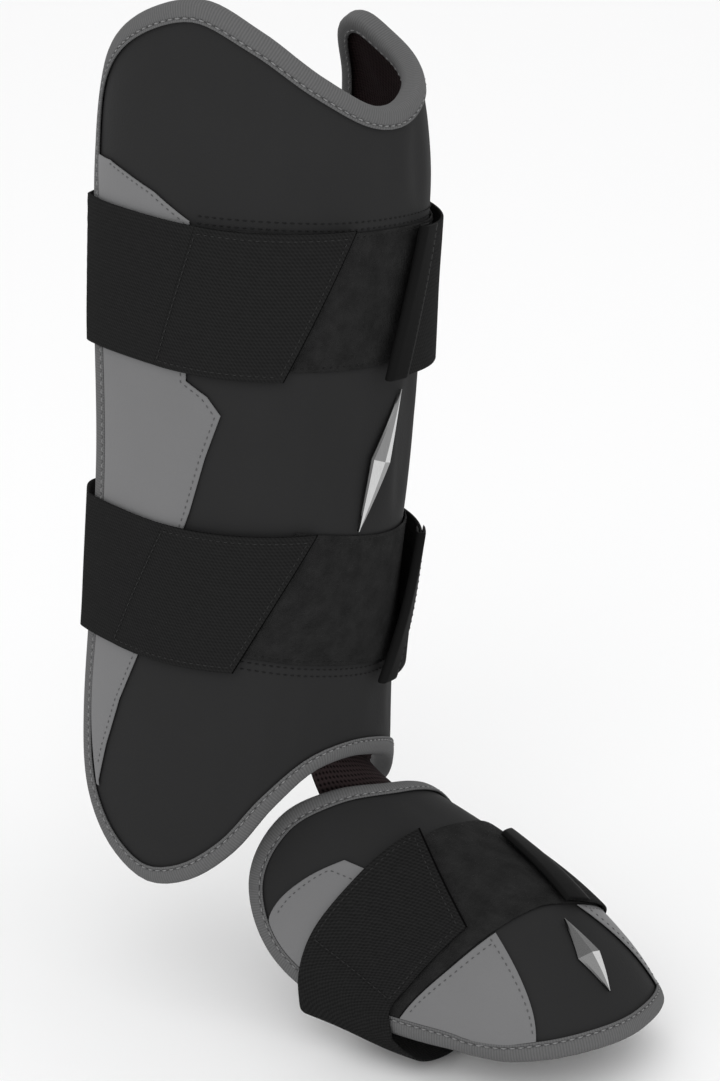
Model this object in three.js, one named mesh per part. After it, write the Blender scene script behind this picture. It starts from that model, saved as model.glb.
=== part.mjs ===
// Leg guard for a left leg: a padded shin shell with two wide straps, and a padded foot guard
// that hangs from it on a mesh link and is held by a strap under the sole.
// Millimetres, +Z up, toes towards -Y, the outer side of the leg towards +X.
import * as THREE from 'three';

// Shin shell
const shinLength = 378;
const ankleClearance = 49;
const shinWidth = 132;
const shinDepth = 134;
const shinLean = 24;

// Foot guard
const footLength = 141;
const instepHeight = 98;
const footWidth = 108;
const toeOut = 10;

// Padding, lining and edge tape
const padThickness = 7;
const padEdge = 4;
const padRamp = 22;
const liningThickness = 1.5;
const tapeThickness = 1;
const tapeWidth = 6.5;

// Overlays
const panelThickness = 0.8;
const loopThickness = 0.8;
const upperLoopWidth = 57;
const lowerLoopWidth = 59;
const lowerLoopRise = 6;
const badgeLength = 57;
const badgeWidth = 13;
const badgeHeight = 2.6;
const footBadgeLength = 40;

// Straps
const strapWidth = 61;
const strapThickness = 1.3;
const tabThickness = 1.7;
const upperStrapHeight = 305;
const lowerStrapHeight = 174;
const upperStandOff = 3.1;
const lowerStandOff = 3.9;
const footStandOff = 2;
const pullStripWidth = 8.5;
const pullStripThickness = 1.2;
const solePassage = 14;

// Ankle link
const linkWidth = 41;
const linkThickness = 1.8;
const linkTuck = 16;

// Height of the place on the leg that the guard sits round, over the sole
const seatHeight = 240;

// Air between pieces: where edges meet, and where one layer lies on another
const gap = 0.3;
const layGap = 0.55;

// Width of the outermost ring of facets of a pad
const edgeRing = 7.6;

// Sections of the shin shell's outer face. Height is a share of shinLength above the pad's lowest
// point, medial and lateral of shinWidth, front and back of shinDepth, forward of shinLean.
const shinSections = [
  { height: -0.02, medial: 0.53, lateral: 0.455, front: 0.49, back: 0.51, forward: 0 },
  { height: 0.09, medial: 0.53, lateral: 0.465, front: 0.495, back: 0.51, forward: 0 },
  { height: 0.19, medial: 0.515, lateral: 0.452, front: 0.502, back: 0.49, forward: 0.04 },
  { height: 0.325, medial: 0.5, lateral: 0.447, front: 0.515, back: 0.49, forward: 0.125 },
  { height: 0.485, medial: 0.492, lateral: 0.477, front: 0.522, back: 0.49, forward: 0.33 },
  { height: 0.655, medial: 0.5, lateral: 0.492, front: 0.515, back: 0.49, forward: 0.54 },
  { height: 0.815, medial: 0.5, lateral: 0.485, front: 0.507, back: 0.448, forward: 0.75 },
  { height: 0.88, medial: 0.5, lateral: 0.42, front: 0.5, back: 0.425, forward: 0.83 },
  { height: 0.947, medial: 0.5, lateral: 0.305, front: 0.478, back: 0.385, forward: 0.92 },
  { height: 1.013, medial: 0.485, lateral: 0.235, front: 0.448, back: 0.345, forward: 1 },
];

// Sections of the foot guard's outer face, fanned along the foot. Root is a share of footLength,
// lean is the section's angle over the ground, medial and lateral are shares of footWidth,
// reach is a share of instepHeight. Sole is a share of solePassage.
const footSections = [
  { along: 0, root: 0.2, lean: 90, medial: 0.435, lateral: 0.481, reach: 1, sole: 0 },
  { along: 0.2, root: 0.383, lean: 80, medial: 0.463, lateral: 0.537, reach: 0.878, sole: 0.02 },
  { along: 0.4, root: 0.582, lean: 66, medial: 0.481, lateral: 0.528, reach: 0.776, sole: 0.35 },
  { along: 0.6, root: 0.766, lean: 49, medial: 0.5, lateral: 0.5, reach: 0.704, sole: 0.85 },
  { along: 0.8, root: 0.908, lean: 28, medial: 0.5, lateral: 0.454, reach: 0.663, sole: 1 },
  { along: 1, root: 1, lean: 3, medial: 0.472, lateral: 0.455, reach: 0.653, sole: 1 },
];

// How square the sections are: 2 is an ellipse
const shinFrontPower = 2.15;
const shinBackPower = 2.5;
const footPower = 2.3;

// Edge of the shin shell, from the medial knee corner round to the start. Turn is the angle about
// the leg from its front, positive towards the outer side; height is a share of shinLength.
const shinOutline = [
  { turn: -126, height: 0.89 }, { turn: -114, height: 0.942 }, { turn: -94, height: 0.983 },
  { turn: -72, height: 0.998 }, { turn: -50, height: 0.968 }, { turn: -28, height: 0.92 },
  { turn: -8, height: 0.885 }, { turn: 5, height: 0.88 }, { turn: 22, height: 0.898 },
  { turn: 45, height: 0.931 }, { turn: 65, height: 0.954 }, { turn: 82, height: 0.94 },
  { turn: 95, height: 0.86 }, { turn: 104, height: 0.68 }, { turn: 107, height: 0.42 },
  { turn: 106, height: 0.2 }, { turn: 99, height: 0.085 }, { turn: 84, height: 0.025 },
  { turn: 68, height: 0.022 }, { turn: 52, height: 0.046 }, { turn: 34, height: 0.096 },
  { turn: 12, height: 0.131 }, { turn: -5, height: 0.144 }, { turn: -20, height: 0.139 },
  { turn: -35, height: 0.105 }, { turn: -50, height: 0.051 }, { turn: -66, height: 0.0146 },
  { turn: -82, height: 0.003 }, { turn: -98, height: 0.027 }, { turn: -110, height: 0.079 },
  { turn: -116, height: 0.17 }, { turn: -114, height: 0.32 }, { turn: -114, height: 0.47 },
  { turn: -116, height: 0.62 }, { turn: -119.5, height: 0.74 }, { turn: -125.5, height: 0.82 },
];
const shinCorners = { topStart: 0, topEnd: 11, bottomStart: 16, bottomEnd: 29 };

// Edge of the foot guard, from the heel end of its rear rim. Turn is the angle over the foot from
// its ridge, positive towards the outer side; along runs from the ankle, 0, to the toes, 1.
const footOutline = [
  { turn: -44, along: 0.036 }, { turn: -35, along: 0.04 }, { turn: -24, along: 0.078 },
  { turn: -12, along: 0.155 }, { turn: 0, along: 0.216 }, { turn: 14, along: 0.245 },
  { turn: 30, along: 0.258 }, { turn: 48, along: 0.3 }, { turn: 58, along: 0.38 },
  { turn: 63, along: 0.5 }, { turn: 68, along: 0.64 }, { turn: 73, along: 0.8 },
  { turn: 70, along: 0.925 }, { turn: 57, along: 0.993 }, { turn: 36, along: 0.998 },
  { turn: 15, along: 0.975 }, { turn: -8, along: 0.967 }, { turn: -30, along: 0.962 },
  { turn: -50, along: 0.972 }, { turn: -70, along: 0.99 }, { turn: -79.5, along: 0.965 },
  { turn: -82.5, along: 0.88 }, { turn: -86, along: 0.7 }, { turn: -86.5, along: 0.48 },
  { turn: -81, along: 0.28 }, { turn: -70, along: 0.145 }, { turn: -57, along: 0.07 },
];
const footCorners = { topStart: 0, topEnd: 8, bottomStart: 12, bottomEnd: 20 };

// Edges of the grey overlay on the inner side. Height is a share of shinLength; the front edge is an
// angle about the leg, with one step in it below the upper strap.
const sidePanelRows = [
  { height: 0.095, front: -105 }, { height: 0.15, front: -101 }, { height: 0.21, front: -95 },
  { height: 0.28, front: -85 }, { height: 0.37, front: -75 }, { height: 0.45, front: -67 },
  { height: 0.515, front: -62 }, { height: 0.565, front: -57 }, { height: 0.585, front: -62 },
  { height: 0.6, front: -70 }, { height: 0.69, front: -71 }, { height: 0.775, front: -71 },
  { height: 0.8, front: -86 }, { height: 0.815, front: -101 }, { height: 0.822, front: -110 },
];

// Middle line of each shin strap: drop below its named height, as a share of strapWidth.
const upperStrapLine = [
  { turn: -115, drop: -0.12 }, { turn: -87, drop: -0.09 }, { turn: -45, drop: -0.06 },
  { turn: -15, drop: -0.01 }, { turn: 10, drop: 0.03 }, { turn: 42, drop: 0.09 },
  { turn: 100, drop: 0.07 }, { turn: 180, drop: 0 }, { turn: 245, drop: -0.12 },
  { turn: 315, drop: -0.06 },
];
const lowerStrapLine = [
  { turn: -115, drop: -0.17 }, { turn: -75, drop: -0.14 }, { turn: -49, drop: -0.1 },
  { turn: -23, drop: 0.01 }, { turn: 10, drop: 0.15 }, { turn: 45, drop: 0.2 },
  { turn: 100, drop: 0.18 }, { turn: 180, drop: 0.04 }, { turn: 245, drop: -0.17 },
  { turn: 285, drop: -0.14 },
];

// How far a shin strap stands off the shell, as a share of its own stand-off at the outer side, over
// the least that clears the edge tape
const strapLift = [
  { turn: -10, lift: 1.3 }, { turn: 15, lift: 1.2 }, { turn: 40, lift: 1 },
  { turn: 65, lift: 0.9 }, { turn: 90, lift: 0.2 }, { turn: 105, lift: 0 }, { turn: 120, lift: 0 },
  { turn: 360, lift: 0 },
];

// How far a shin strap runs inside the section of the shell behind the leg, as a share of shinDepth,
// from the shell's outer rear edge, 0, to its inner rear edge, 1
const strapInset = [
  { share: 0, inset: 0 }, { share: 0.05, inset: 0.009 }, { share: 0.1, inset: 0.024 },
  { share: 0.2, inset: 0.038 }, { share: 0.34, inset: 0.047 }, { share: 0.54, inset: 0.043 },
  { share: 0.77, inset: 0.05 }, { share: 0.88, inset: 0.039 }, { share: 0.93, inset: 0.028 },
  { share: 0.97, inset: 0.014 }, { share: 1, inset: 0 },
];

// Ends of the shin straps: the angle about the leg at the low and at the high edge
const upperStrapStart = { low: -1, high: 15 };
const upperTabSeam = { low: 278, high: 292 };
const upperTabEnd = { low: 323, high: 345 };
const lowerStrapStart = { low: 8, high: 31 };
const lowerTabSeam = { low: 262, high: 284 };
const lowerTabEnd = { low: 311, high: 337 };
const loopEnds = { medial: -62, lateral: 46 };

// How much more each shin strap's high edge stands off than its middle, as a share
const upperTilt = -0.2;
const lowerTilt = 0.35;

// The foot strap's edges along the foot, from its tab over the inner side, under the sole and up
// the outer side, and how far it stands off as a share of footStandOff.
const footStrapRows = [
  { turn: -5, rear: 0.345, front: 0.56, lift: 0 }, { turn: -30, rear: 0.297, front: 0.546, lift: 0 },
  { turn: -60, rear: 0.247, front: 0.548, lift: 0 }, { turn: -76, rear: 0.252, front: 0.56, lift: 0 },
  { turn: -91, rear: 0.285, front: 0.655, lift: 0.2 }, { turn: -110, rear: 0.34, front: 0.74, lift: 0.4 },
  { turn: -135, rear: 0.38, front: 0.775, lift: 0.3 }, { turn: -180, rear: 0.38, front: 0.78, lift: 0 },
  { turn: -225, rear: 0.37, front: 0.78, lift: 0.1 }, { turn: -269, rear: 0.365, front: 0.765, lift: 0.2 },
  { turn: -300, rear: 0.41, front: 0.765, lift: 0.1 }, { turn: -320, rear: 0.44, front: 0.735, lift: 0.1 },
  { turn: -345, rear: 0.45, front: 0.675, lift: 0.2 }, { turn: -358, rear: 0.45, front: 0.63, lift: 0.3 },
];
const footTabEnd = { low: -9, high: -30 };
const footTabSeam = { low: -56, high: -71 };
const footStrapEnd = { low: -347, high: -356 };

// Edges of the field under the foot strap
const footLoopRows = [
  { turn: -82, rear: 0.3, front: 0.6 }, { turn: -70, rear: 0.3, front: 0.585 },
  { turn: -45, rear: 0.33, front: 0.583 }, { turn: -28, rear: 0.345, front: 0.588 },
  { turn: -15, rear: 0.35, front: 0.599 }, { turn: -4, rear: 0.357, front: 0.615 },
  { turn: 8, rear: 0.378, front: 0.65 }, { turn: 25, rear: 0.4, front: 0.69 },
  { turn: 52, rear: 0.45, front: 0.7 },
];

// The grey overlays of the foot guard: the turn of each toe overlay's free edge at its rear and front
// end, and the rear edge of the overlay behind the strap
const innerRidge = { low: -26, high: -47 };
const outerRidge = { low: 9, high: 23 };
const rearPanelRows = [
  { turn: -28, rear: 0.252 }, { turn: -38, rear: 0.18 }, { turn: -47, rear: 0.13 },
  { turn: -56, rear: 0.132 }, { turn: -66, rear: 0.19 }, { turn: -75, rear: 0.262 },
];

// Reads one column of a table at a place on the smooth curve through its rows.
function readTable(rows, key, column, at) {
  const step = (i) => rows[i + 1][key] - rows[i][key];
  const rise = (i) => (rows[i + 1][column] - rows[i][column]) / step(i);
  const slope = (i) => {
    if (i === 0) return rise(0);
    if (i === rows.length - 1) return rise(i - 1);
    return (rise(i) * step(i - 1) + rise(i - 1) * step(i)) / (step(i) + step(i - 1));
  };
  const forward = step(0) > 0 ? 1 : -1;
  let i = 0;
  while (i < rows.length - 2 && (at - rows[i + 1][key]) * forward > 0) i += 1;
  const t = (at - rows[i][key]) / step(i);
  if (t < 0) return rows[i][column] + slope(i) * step(i) * t;
  if (t > 1) return rows[i + 1][column] + slope(i + 1) * step(i) * (t - 1);
  const tt = t * t;
  const ttt = tt * t;
  return (2 * ttt - 3 * tt + 1) * rows[i][column] + (ttt - 2 * tt + t) * step(i) * slope(i)
    + (3 * tt - 2 * ttt) * rows[i + 1][column] + (ttt - tt) * step(i) * slope(i + 1);
}

function radians(degrees) {
  return THREE.MathUtils.degToRad(degrees);
}

const mix = THREE.MathUtils.lerp;

// Distance from the middle of a rounded section to its edge, in the direction of an angle.
function sectionRadius(side, ahead, halfWidth, halfDepth, power) {
  const sum = (Math.abs(side) / halfWidth) ** power + (Math.abs(ahead) / halfDepth) ** power;
  return sum ** (-1 / power);
}

// The shin shell's outer face. Turn in degrees about the leg, height in mm above the pad's
// lowest point.
const shin = {
  facing: 1,
  step: { turn: 0.5, along: 0.5 },
  point({ turn, along }) {
    const read = (column) => readTable(shinSections, 'height', column, along / shinLength);
    const side = Math.sin(radians(turn));
    const ahead = Math.cos(radians(turn));
    const halfWidth = shinWidth * read(side < 0 ? 'medial' : 'lateral');
    const halfDepth = shinDepth * read(ahead < 0 ? 'back' : 'front');
    const power = ahead < 0 ? shinBackPower : shinFrontPower;
    const radius = sectionRadius(side, ahead, halfWidth, halfDepth, power);
    const forward = shinLean * read('forward');
    return new THREE.Vector3(radius * side, -forward - radius * ahead, ankleClearance + along);
  },
};

// The foot guard's outer face. Turn in degrees over the foot, along from the ankle to the toes.
// Past the sides the face runs flat under the sole.
const foot = {
  facing: -1,
  step: { turn: 0.3, along: 0.003 },
  point({ turn, along }) {
    const read = (column) => readTable(footSections, 'along', column, along);
    const side = Math.sin(radians(turn));
    const ahead = Math.cos(radians(turn));
    const halfWidth = footWidth * read(side < 0 ? 'medial' : 'lateral');
    const lean = radians(read('lean'));
    let across;
    let forward = footLength * read('root');
    let up;
    if (ahead < 0) {
      across = Math.sign(side) * halfWidth * Math.abs(side) ** (2 / footPower);
      up = -solePassage * read('sole') * Math.abs(ahead) ** (2 / footPower);
    } else {
      const radius = sectionRadius(side, ahead, halfWidth, instepHeight * read('reach'), footPower);
      across = radius * side;
      forward += radius * ahead * Math.cos(lean);
      up = radius * ahead * Math.sin(lean);
    }
    const out = radians(toeOut);
    return new THREE.Vector3(
      across * Math.cos(out) + forward * Math.sin(out),
      across * Math.sin(out) - forward * Math.cos(out),
      up,
    );
  },
};

// The two directions of a face at a place, as vectors per unit of turn and of along.
function directions(face, { turn, along }) {
  const { step } = face;
  const byTurn = face.point({ turn: turn + step.turn, along });
  byTurn.sub(face.point({ turn: turn - step.turn, along })).divideScalar(2 * step.turn);
  const byAlong = face.point({ turn, along: along + step.along });
  byAlong.sub(face.point({ turn, along: along - step.along })).divideScalar(2 * step.along);
  return { byTurn, byAlong };
}

function outward(face, place) {
  const { byTurn, byAlong } = directions(face, place);
  return byTurn.cross(byAlong).multiplyScalar(face.facing).normalize();
}

// A point at a distance over a face.
function raised(face, place, distance) {
  return face.point(place).addScaledVector(outward(face, place), distance);
}

// The place reached from another by going a distance over the face in a direction, in short steps.
function slide(face, place, direction, distance) {
  const steps = 6;
  let { turn, along } = place;
  for (let i = 0; i < steps; i += 1) {
    const { byTurn, byAlong } = directions(face, { turn, along });
    const up = byTurn.clone().cross(byAlong).normalize();
    const stride = direction.clone().projectOnPlane(up).setLength(distance / steps);
    const a = byTurn.dot(byTurn);
    const b = byTurn.dot(byAlong);
    const c = byAlong.dot(byAlong);
    const p = byTurn.dot(stride);
    const q = byAlong.dot(stride);
    const scale = a * c - b * b;
    turn += (p * c - q * b) / scale;
    along += (q * a - p * b) / scale;
  }
  return { turn, along };
}

// A closed body from its corners and triangles, turned so that its faces point out.
function closedBody(corners, triangles) {
  let volume = 0;
  for (const [a, b, c] of triangles) {
    volume += corners[a].dot(new THREE.Vector3().crossVectors(corners[b], corners[c]));
  }
  const order = volume < 0 ? ([a, b, c]) => [a, c, b] : (triangle) => triangle;
  const body = new THREE.BufferGeometry().setFromPoints(corners);
  body.setIndex(triangles.flatMap(order));
  body.computeVertexNormals();
  return body;
}

// A closed sheet between two grids of points of the same shape.
function sheetBetween(outerGrid, innerGrid) {
  const rows = outerGrid.length;
  const columns = outerGrid[0].length;
  const corners = [...outerGrid.flat(), ...innerGrid.flat()];
  const triangles = [];
  const outer = (row, column) => row * columns + column;
  const inner = (row, column) => rows * columns + outer(row, column);
  const quad = (a, b, c, d) => {
    const split = corners[a].distanceTo(corners[c]) < corners[b].distanceTo(corners[d]);
    if (split) triangles.push([a, b, c], [a, c, d]);
    else triangles.push([a, b, d], [b, c, d]);
  };
  for (let row = 0; row < rows - 1; row += 1) {
    for (let column = 0; column < columns - 1; column += 1) {
      quad(outer(row, column), outer(row, column + 1), outer(row + 1, column + 1), outer(row + 1, column));
      quad(inner(row, column), inner(row + 1, column), inner(row + 1, column + 1), inner(row, column + 1));
    }
  }
  const last = columns - 1;
  for (let row = 0; row < rows - 1; row += 1) {
    quad(outer(row, 0), outer(row + 1, 0), inner(row + 1, 0), inner(row, 0));
    quad(outer(row, last), inner(row, last), inner(row + 1, last), outer(row + 1, last));
  }
  const end = rows - 1;
  for (let column = 0; column < columns - 1; column += 1) {
    quad(outer(0, column), inner(0, column), inner(0, column + 1), outer(0, column + 1));
    quad(outer(end, column), outer(end, column + 1), inner(end, column + 1), inner(end, column));
  }
  return closedBody(corners, triangles);
}

// A sheet laid over a face: places in a grid, with the distances of its two sides from the face.
function layer(face, places, outerSide, innerSide) {
  const lift = (side) => places.map((row) => row.map((place) => raised(face, place, side(place))));
  return sheetBetween(lift(outerSide), lift(innerSide));
}

// Shares from 0 to 1 that cut a length into cells, with a cell as wide as edgeRing at either end.
function borderedShares(cells, length) {
  const border = edgeRing / length;
  const inner = Array.from({ length: cells - 1 }, (_, i) => mix(border, 1 - border, i / (cells - 2)));
  return [0, ...inner, 1];
}

// A stretch of a closed outline between two of its rows, as fine points with the length up to each.
function outlineStretch(curve, rowCount, first, last) {
  const perRow = 12;
  const count = ((last - first + rowCount) % rowCount) * perRow;
  const points = [curve.getPoint(first / rowCount)];
  const lengths = [0];
  for (let i = 1; i <= count; i += 1) {
    points.push(curve.getPoint(((first + i / perRow) / rowCount) % 1));
    lengths.push(lengths[i - 1] + points[i].distanceTo(points[i - 1]));
  }
  return { points, lengths };
}

// The points of a stretch at the given shares of its length.
function cutStretch({ points, lengths }, shares) {
  const last = points.length - 1;
  let at = 0;
  return shares.map((share) => {
    const wanted = lengths[last] * share;
    while (at < last - 1 && lengths[at + 1] < wanted) at += 1;
    const rest = (wanted - lengths[at]) / (lengths[at + 1] - lengths[at]);
    return points[at].clone().lerp(points[at + 1], Math.min(1, rest));
  });
}

// A grid of places between four edges that meet at their ends: rear and front run the same way,
// and so do left and right.
function fillBetween(rear, right, front, left, acrossShares, downShares) {
  const blend = (a, b, share) => ({
    turn: mix(a.turn, b.turn, share),
    along: mix(a.along, b.along, share),
  });
  const last = acrossShares.length - 1;
  const end = downShares.length - 1;
  return downShares.map((t, j) => acrossShares.map((s, i) => {
    const down = blend(rear[i], front[i], t);
    const over = blend(left[j], right[j], s);
    const corner = blend(blend(rear[0], rear[last], s), blend(left[end], right[end], s), t);
    return { turn: down.turn + over.turn - corner.turn, along: down.along + over.along - corner.along };
  }));
}

// The places inside a closed outline, as a grid, and the places along its edge.
// Spans are the rough size in mm of a degree and of a unit of along on that face.
function fillOutline(outline, cornerRows, spans, columns, rows) {
  const curve = new THREE.CatmullRomCurve3(
    outline.map(({ turn, along }) => new THREE.Vector3(turn * spans.turn, along * spans.along, 0)),
    true,
  );
  const { topStart, topEnd, bottomStart, bottomEnd } = cornerRows;
  const bounds = [[topStart, topEnd], [topEnd, bottomStart], [bottomStart, bottomEnd], [bottomEnd, topStart]];
  const sides = bounds.map(([first, last]) => outlineStretch(curve, outline.length, first, last));
  const lengths = sides.map((side) => side.lengths.at(-1));
  const across = borderedShares(columns, (lengths[0] + lengths[2]) / 2);
  const down = borderedShares(rows, (lengths[1] + lengths[3]) / 2);
  const [top, right, bottom, left] = sides.map((side, i) => (
    cutStretch(side, i % 2 === 0 ? across : down).map(({ x, y }) => (
      { turn: x / spans.turn, along: y / spans.along }
    ))
  ));
  const edge = [top, right, bottom, left].flatMap((side) => side.slice(0, -1));
  const places = fillBetween(top, right, [...bottom].reverse(), [...left].reverse(), across, down);
  return { places, edge, top, right, bottom, left };
}

// Thickness of a pad at a place: thin under its edge tape, full away from it.
function padDepth(face, edgePoints, place) {
  const here = face.point(place);
  const distance = Math.min(...edgePoints.map((point) => point.distanceTo(here)));
  const start = tapeWidth + gap;
  return mix(padEdge, padThickness, THREE.MathUtils.smoothstep(distance, start, start + padRamp));
}

// Tape folded over the edge of a pad: two legs and the fold between them, swept round the edge.
function edgeTape(face, edge, depth) {
  const low = layGap;
  const high = low + tapeThickness;
  const bend = tapeThickness;
  const half = tapeWidth / 2;
  const profile = [
    { across: tapeWidth, over: low }, { across: tapeWidth, over: high }, { across: half, over: high },
    { across: 0, over: high },
    { across: -high, over: high - bend }, { across: -high, over: bend - high - depth },
    { across: 0, over: -high - depth }, { across: tapeWidth, over: -high - depth },
    { across: tapeWidth, over: -low - depth }, { across: -low, over: -low - depth },
    { across: -low, over: low }, { across: half, over: low },
  ];
  const corners = edge.flatMap((place, i) => {
    const before = face.point(edge[(i + edge.length - 1) % edge.length]);
    const after = face.point(edge[(i + 1) % edge.length]);
    const normal = outward(face, place);
    const inward = after.sub(before).normalize().cross(normal);
    return profile.map(({ across, over }) => {
      if (across > 0) return raised(face, slide(face, place, inward, across), over);
      return raised(face, place, over).addScaledVector(inward, across);
    });
  });
  const triangles = [];
  const sides = profile.length;
  for (let i = 0; i < edge.length; i += 1) {
    const here = i * sides;
    const next = ((i + 1) % edge.length) * sides;
    for (let k = 0; k < sides; k += 1) {
      const k2 = (k + 1) % sides;
      triangles.push([here + k, next + k, next + k2], [here + k, next + k2, here + k2]);
    }
  }
  return closedBody(corners, triangles);
}

// Places along the inner edge of a tape's outer leg, for pieces that end against it.
function besideTape(face, edge, stretch) {
  return stretch.map((place) => {
    const i = edge.findIndex((other) => other === place);
    const before = face.point(edge[(i + edge.length - 1) % edge.length]);
    const after = face.point(edge[(i + 1) % edge.length]);
    const inward = after.sub(before).normalize().cross(outward(face, place));
    return slide(face, place, inward, tapeWidth + 2 * gap);
  });
}

// Places of a band between two ends and two edges. The ends give a turn for a share across the
// band, the edges give along for a turn and that share.
function bandPlaces(startTurn, endTurn, alongAt, cells, crossCells) {
  const places = [];
  for (let i = 0; i <= cells; i += 1) {
    const row = [];
    for (let j = 0; j <= crossCells; j += 1) {
      const across = j / crossCells;
      const turn = mix(startTurn(across), endTurn(across), i / cells);
      row.push({ turn, along: alongAt(turn, across) });
    }
    places.push(row);
  }
  return places;
}

function slant({ low, high }, shift = 0) {
  return (across) => mix(low, high, across) + shift;
}

function edges(rows) {
  return (turn, across) => mix(
    readTable(rows, 'turn', 'rear', turn),
    readTable(rows, 'turn', 'front', turn),
    across,
  );
}

// Distances of the two sides of a sheet that lies over a face
function lying(low, thickness) {
  return [() => low + thickness, () => low];
}

// A long faceted lozenge with a ridge, set on a face between two places.
function lozenge(face, from, to) {
  const stations = 8;
  const foot = layGap;
  const rim = 0.35;
  const places = [];
  const ridge = new Map();
  for (let i = 0; i <= stations; i += 1) {
    const s = i / stations;
    const middle = { turn: mix(from.turn, to.turn, s), along: mix(from.along, to.along, s) };
    const heading = face.point(to).sub(face.point(from)).normalize();
    const sideways = heading.cross(outward(face, middle));
    const share = Math.max(1 - Math.abs(2 * s - 1), 0.05);
    const row = [-1, 0, 1].map((side) => {
      const place = slide(face, middle, sideways, (side * share * badgeWidth) / 2);
      ridge.set(place, side === 0 ? mix(rim, 1, share) : rim);
      return place;
    });
    places.push(row);
  }
  return layer(face, places, (place) => foot + badgeHeight * ridge.get(place), () => foot);
}

// Colours and finishes
function finish(color, roughness, metalness = 0) {
  return new THREE.MeshStandardMaterial({ color, roughness, metalness });
}
const blackLeather = finish(0x303030, 0.55);
const greyLeather = finish(0x7a7a7a, 0.6);
const greyTape = finish(0x646464, 0.8);
const elastic = finish(0x232323, 0.9);
const loopPile = finish(0x272727, 0.95);
const smoothTape = finish(0x2a2a2a, 0.5);
const darkMesh = finish(0x1f1a1a, 0.95);
const liningMesh = finish(0x1a1012, 0.95);
const brightMetal = finish(0xb8b8b8, 0.3, 1);

const guard = new THREE.Group();
guard.position.z = -seatHeight;

function add(name, geometry, material) {
  const mesh = new THREE.Mesh(geometry, material);
  mesh.name = name;
  guard.add(mesh);
}

// Shin shell, lining and edge tape
const shinSpans = { turn: (Math.PI * shinWidth) / 360, along: 1 };
const shinEdgeRows = shinOutline.map(({ turn, height }) => ({ turn, along: height * shinLength }));
const shinFill = fillOutline(shinEdgeRows, shinCorners, shinSpans, 18, 20);
const shinEdgePoints = shinFill.edge.map((place) => shin.point(place));
const shinDepthAt = (place) => padDepth(shin, shinEdgePoints, place);
const liningFace = (place) => -shinDepthAt(place) - gap;
const liningBack = (place) => liningFace(place) - liningThickness;
add('shin_pad', layer(shin, shinFill.places, () => 0, (place) => -shinDepthAt(place)), blackLeather);
add('shin_lining', layer(shin, shinFill.places, liningFace, liningBack), liningMesh);
add('shin_binding', edgeTape(shin, shinFill.edge, padEdge + layGap + liningThickness), greyTape);

// The overlay on the inner side runs back to the edge tape.
const innerEdge = shinEdgeRows.slice(shinCorners.bottomEnd).concat({ ...shinEdgeRows[0] });
const outerEdge = shinEdgeRows.slice(shinCorners.topEnd, shinCorners.bottomStart + 1);
const rearTape = (tapeWidth + 5 * gap) / shinSpans.turn;
const panelShares = [0, 0.17, 0.33, 0.5, 0.67, 0.83, 1];
const sidePanel = sidePanelRows.map(({ height, front }) => {
  const along = height * shinLength;
  const rear = readTable(innerEdge, 'along', 'turn', along) + rearTape;
  return panelShares.map((share) => ({ turn: mix(rear, Math.max(front, rear + 1), share), along }));
});
add('shin_side_panel', layer(shin, sidePanel, ...lying(layGap, panelThickness)), greyLeather);

// Shin straps, their fields, tabs and pull strips
const overTape = tapeThickness + 2 * layGap;
function shinBand(line, height, width, shift = 0) {
  return (turn, across) => {
    const drop = readTable(line, 'turn', 'drop', turn) * strapWidth;
    return height - ankleClearance - drop + shift + (across - 0.5) * width;
  };
}
const foldTurn = 2.8;
function shinStandOff(band, standOff, tilt) {
  return ({ turn, along }) => {
    const outer = readTable(outerEdge, 'along', 'turn', along) + foldTurn;
    const inner = readTable(innerEdge, 'along', 'turn', along) - foldTurn + 360;
    const share = (turn - outer) / (inner - outer);
    const inset = share > 0 && share < 1 ? readTable(strapInset, 'share', 'inset', share) : 0;
    const across = (2 * (along - band(turn, 0.5))) / strapWidth;
    const lift = readTable(strapLift, 'turn', 'lift', turn) * (1 + tilt * across);
    return overTape + standOff * lift - shinDepth * inset;
  };
}
const seamGap = (2 * gap) / shinSpans.turn;

function addShinStrap(name, line, height, standOff, tilt, start, seam, end, loopWidth, loopRise) {
  const along = shinBand(line, height, strapWidth);
  const strapInner = shinStandOff(along, standOff, tilt);
  const strapOuter = (place) => strapInner(place) + strapThickness;
  const strap = bandPlaces(slant(start), slant(seam, -seamGap), along, 44, 3);
  add(`${name}_strap`, layer(shin, strap, strapOuter, strapInner), elastic);
  const tab = bandPlaces(slant(seam), slant(end), along, 6, 3);
  add(`${name}_strap_tab`, layer(shin, tab, ...lying(overTape, tabThickness)), elastic);
  const loopShift = (strapWidth - loopWidth) / 2 + loopRise;
  const { medial, lateral } = loopEnds;
  const loop = bandPlaces(() => medial, () => lateral, shinBand(line, height, loopWidth, loopShift), 11, 3);
  add(`${name}_loop_field`, layer(shin, loop, ...lying(layGap, loopThickness)), loopPile);
  const stripTurn = pullStripWidth / shinSpans.turn;
  const strip = bandPlaces(slant(start), slant(start, stripTurn), along, 1, 3);
  const stripInner = (place) => strapOuter(place) + gap;
  add(`${name}_pull_strip`, layer(shin, strip, (place) => stripInner(place) + pullStripThickness, stripInner),
    smoothTape);
}
addShinStrap('upper', upperStrapLine, upperStrapHeight, upperStandOff, upperTilt, upperStrapStart,
  upperTabSeam, upperTabEnd, upperLoopWidth, 0);
addShinStrap('lower', lowerStrapLine, lowerStrapHeight, lowerStandOff, lowerTilt, lowerStrapStart,
  lowerTabSeam, lowerTabEnd, lowerLoopWidth, lowerLoopRise);

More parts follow.
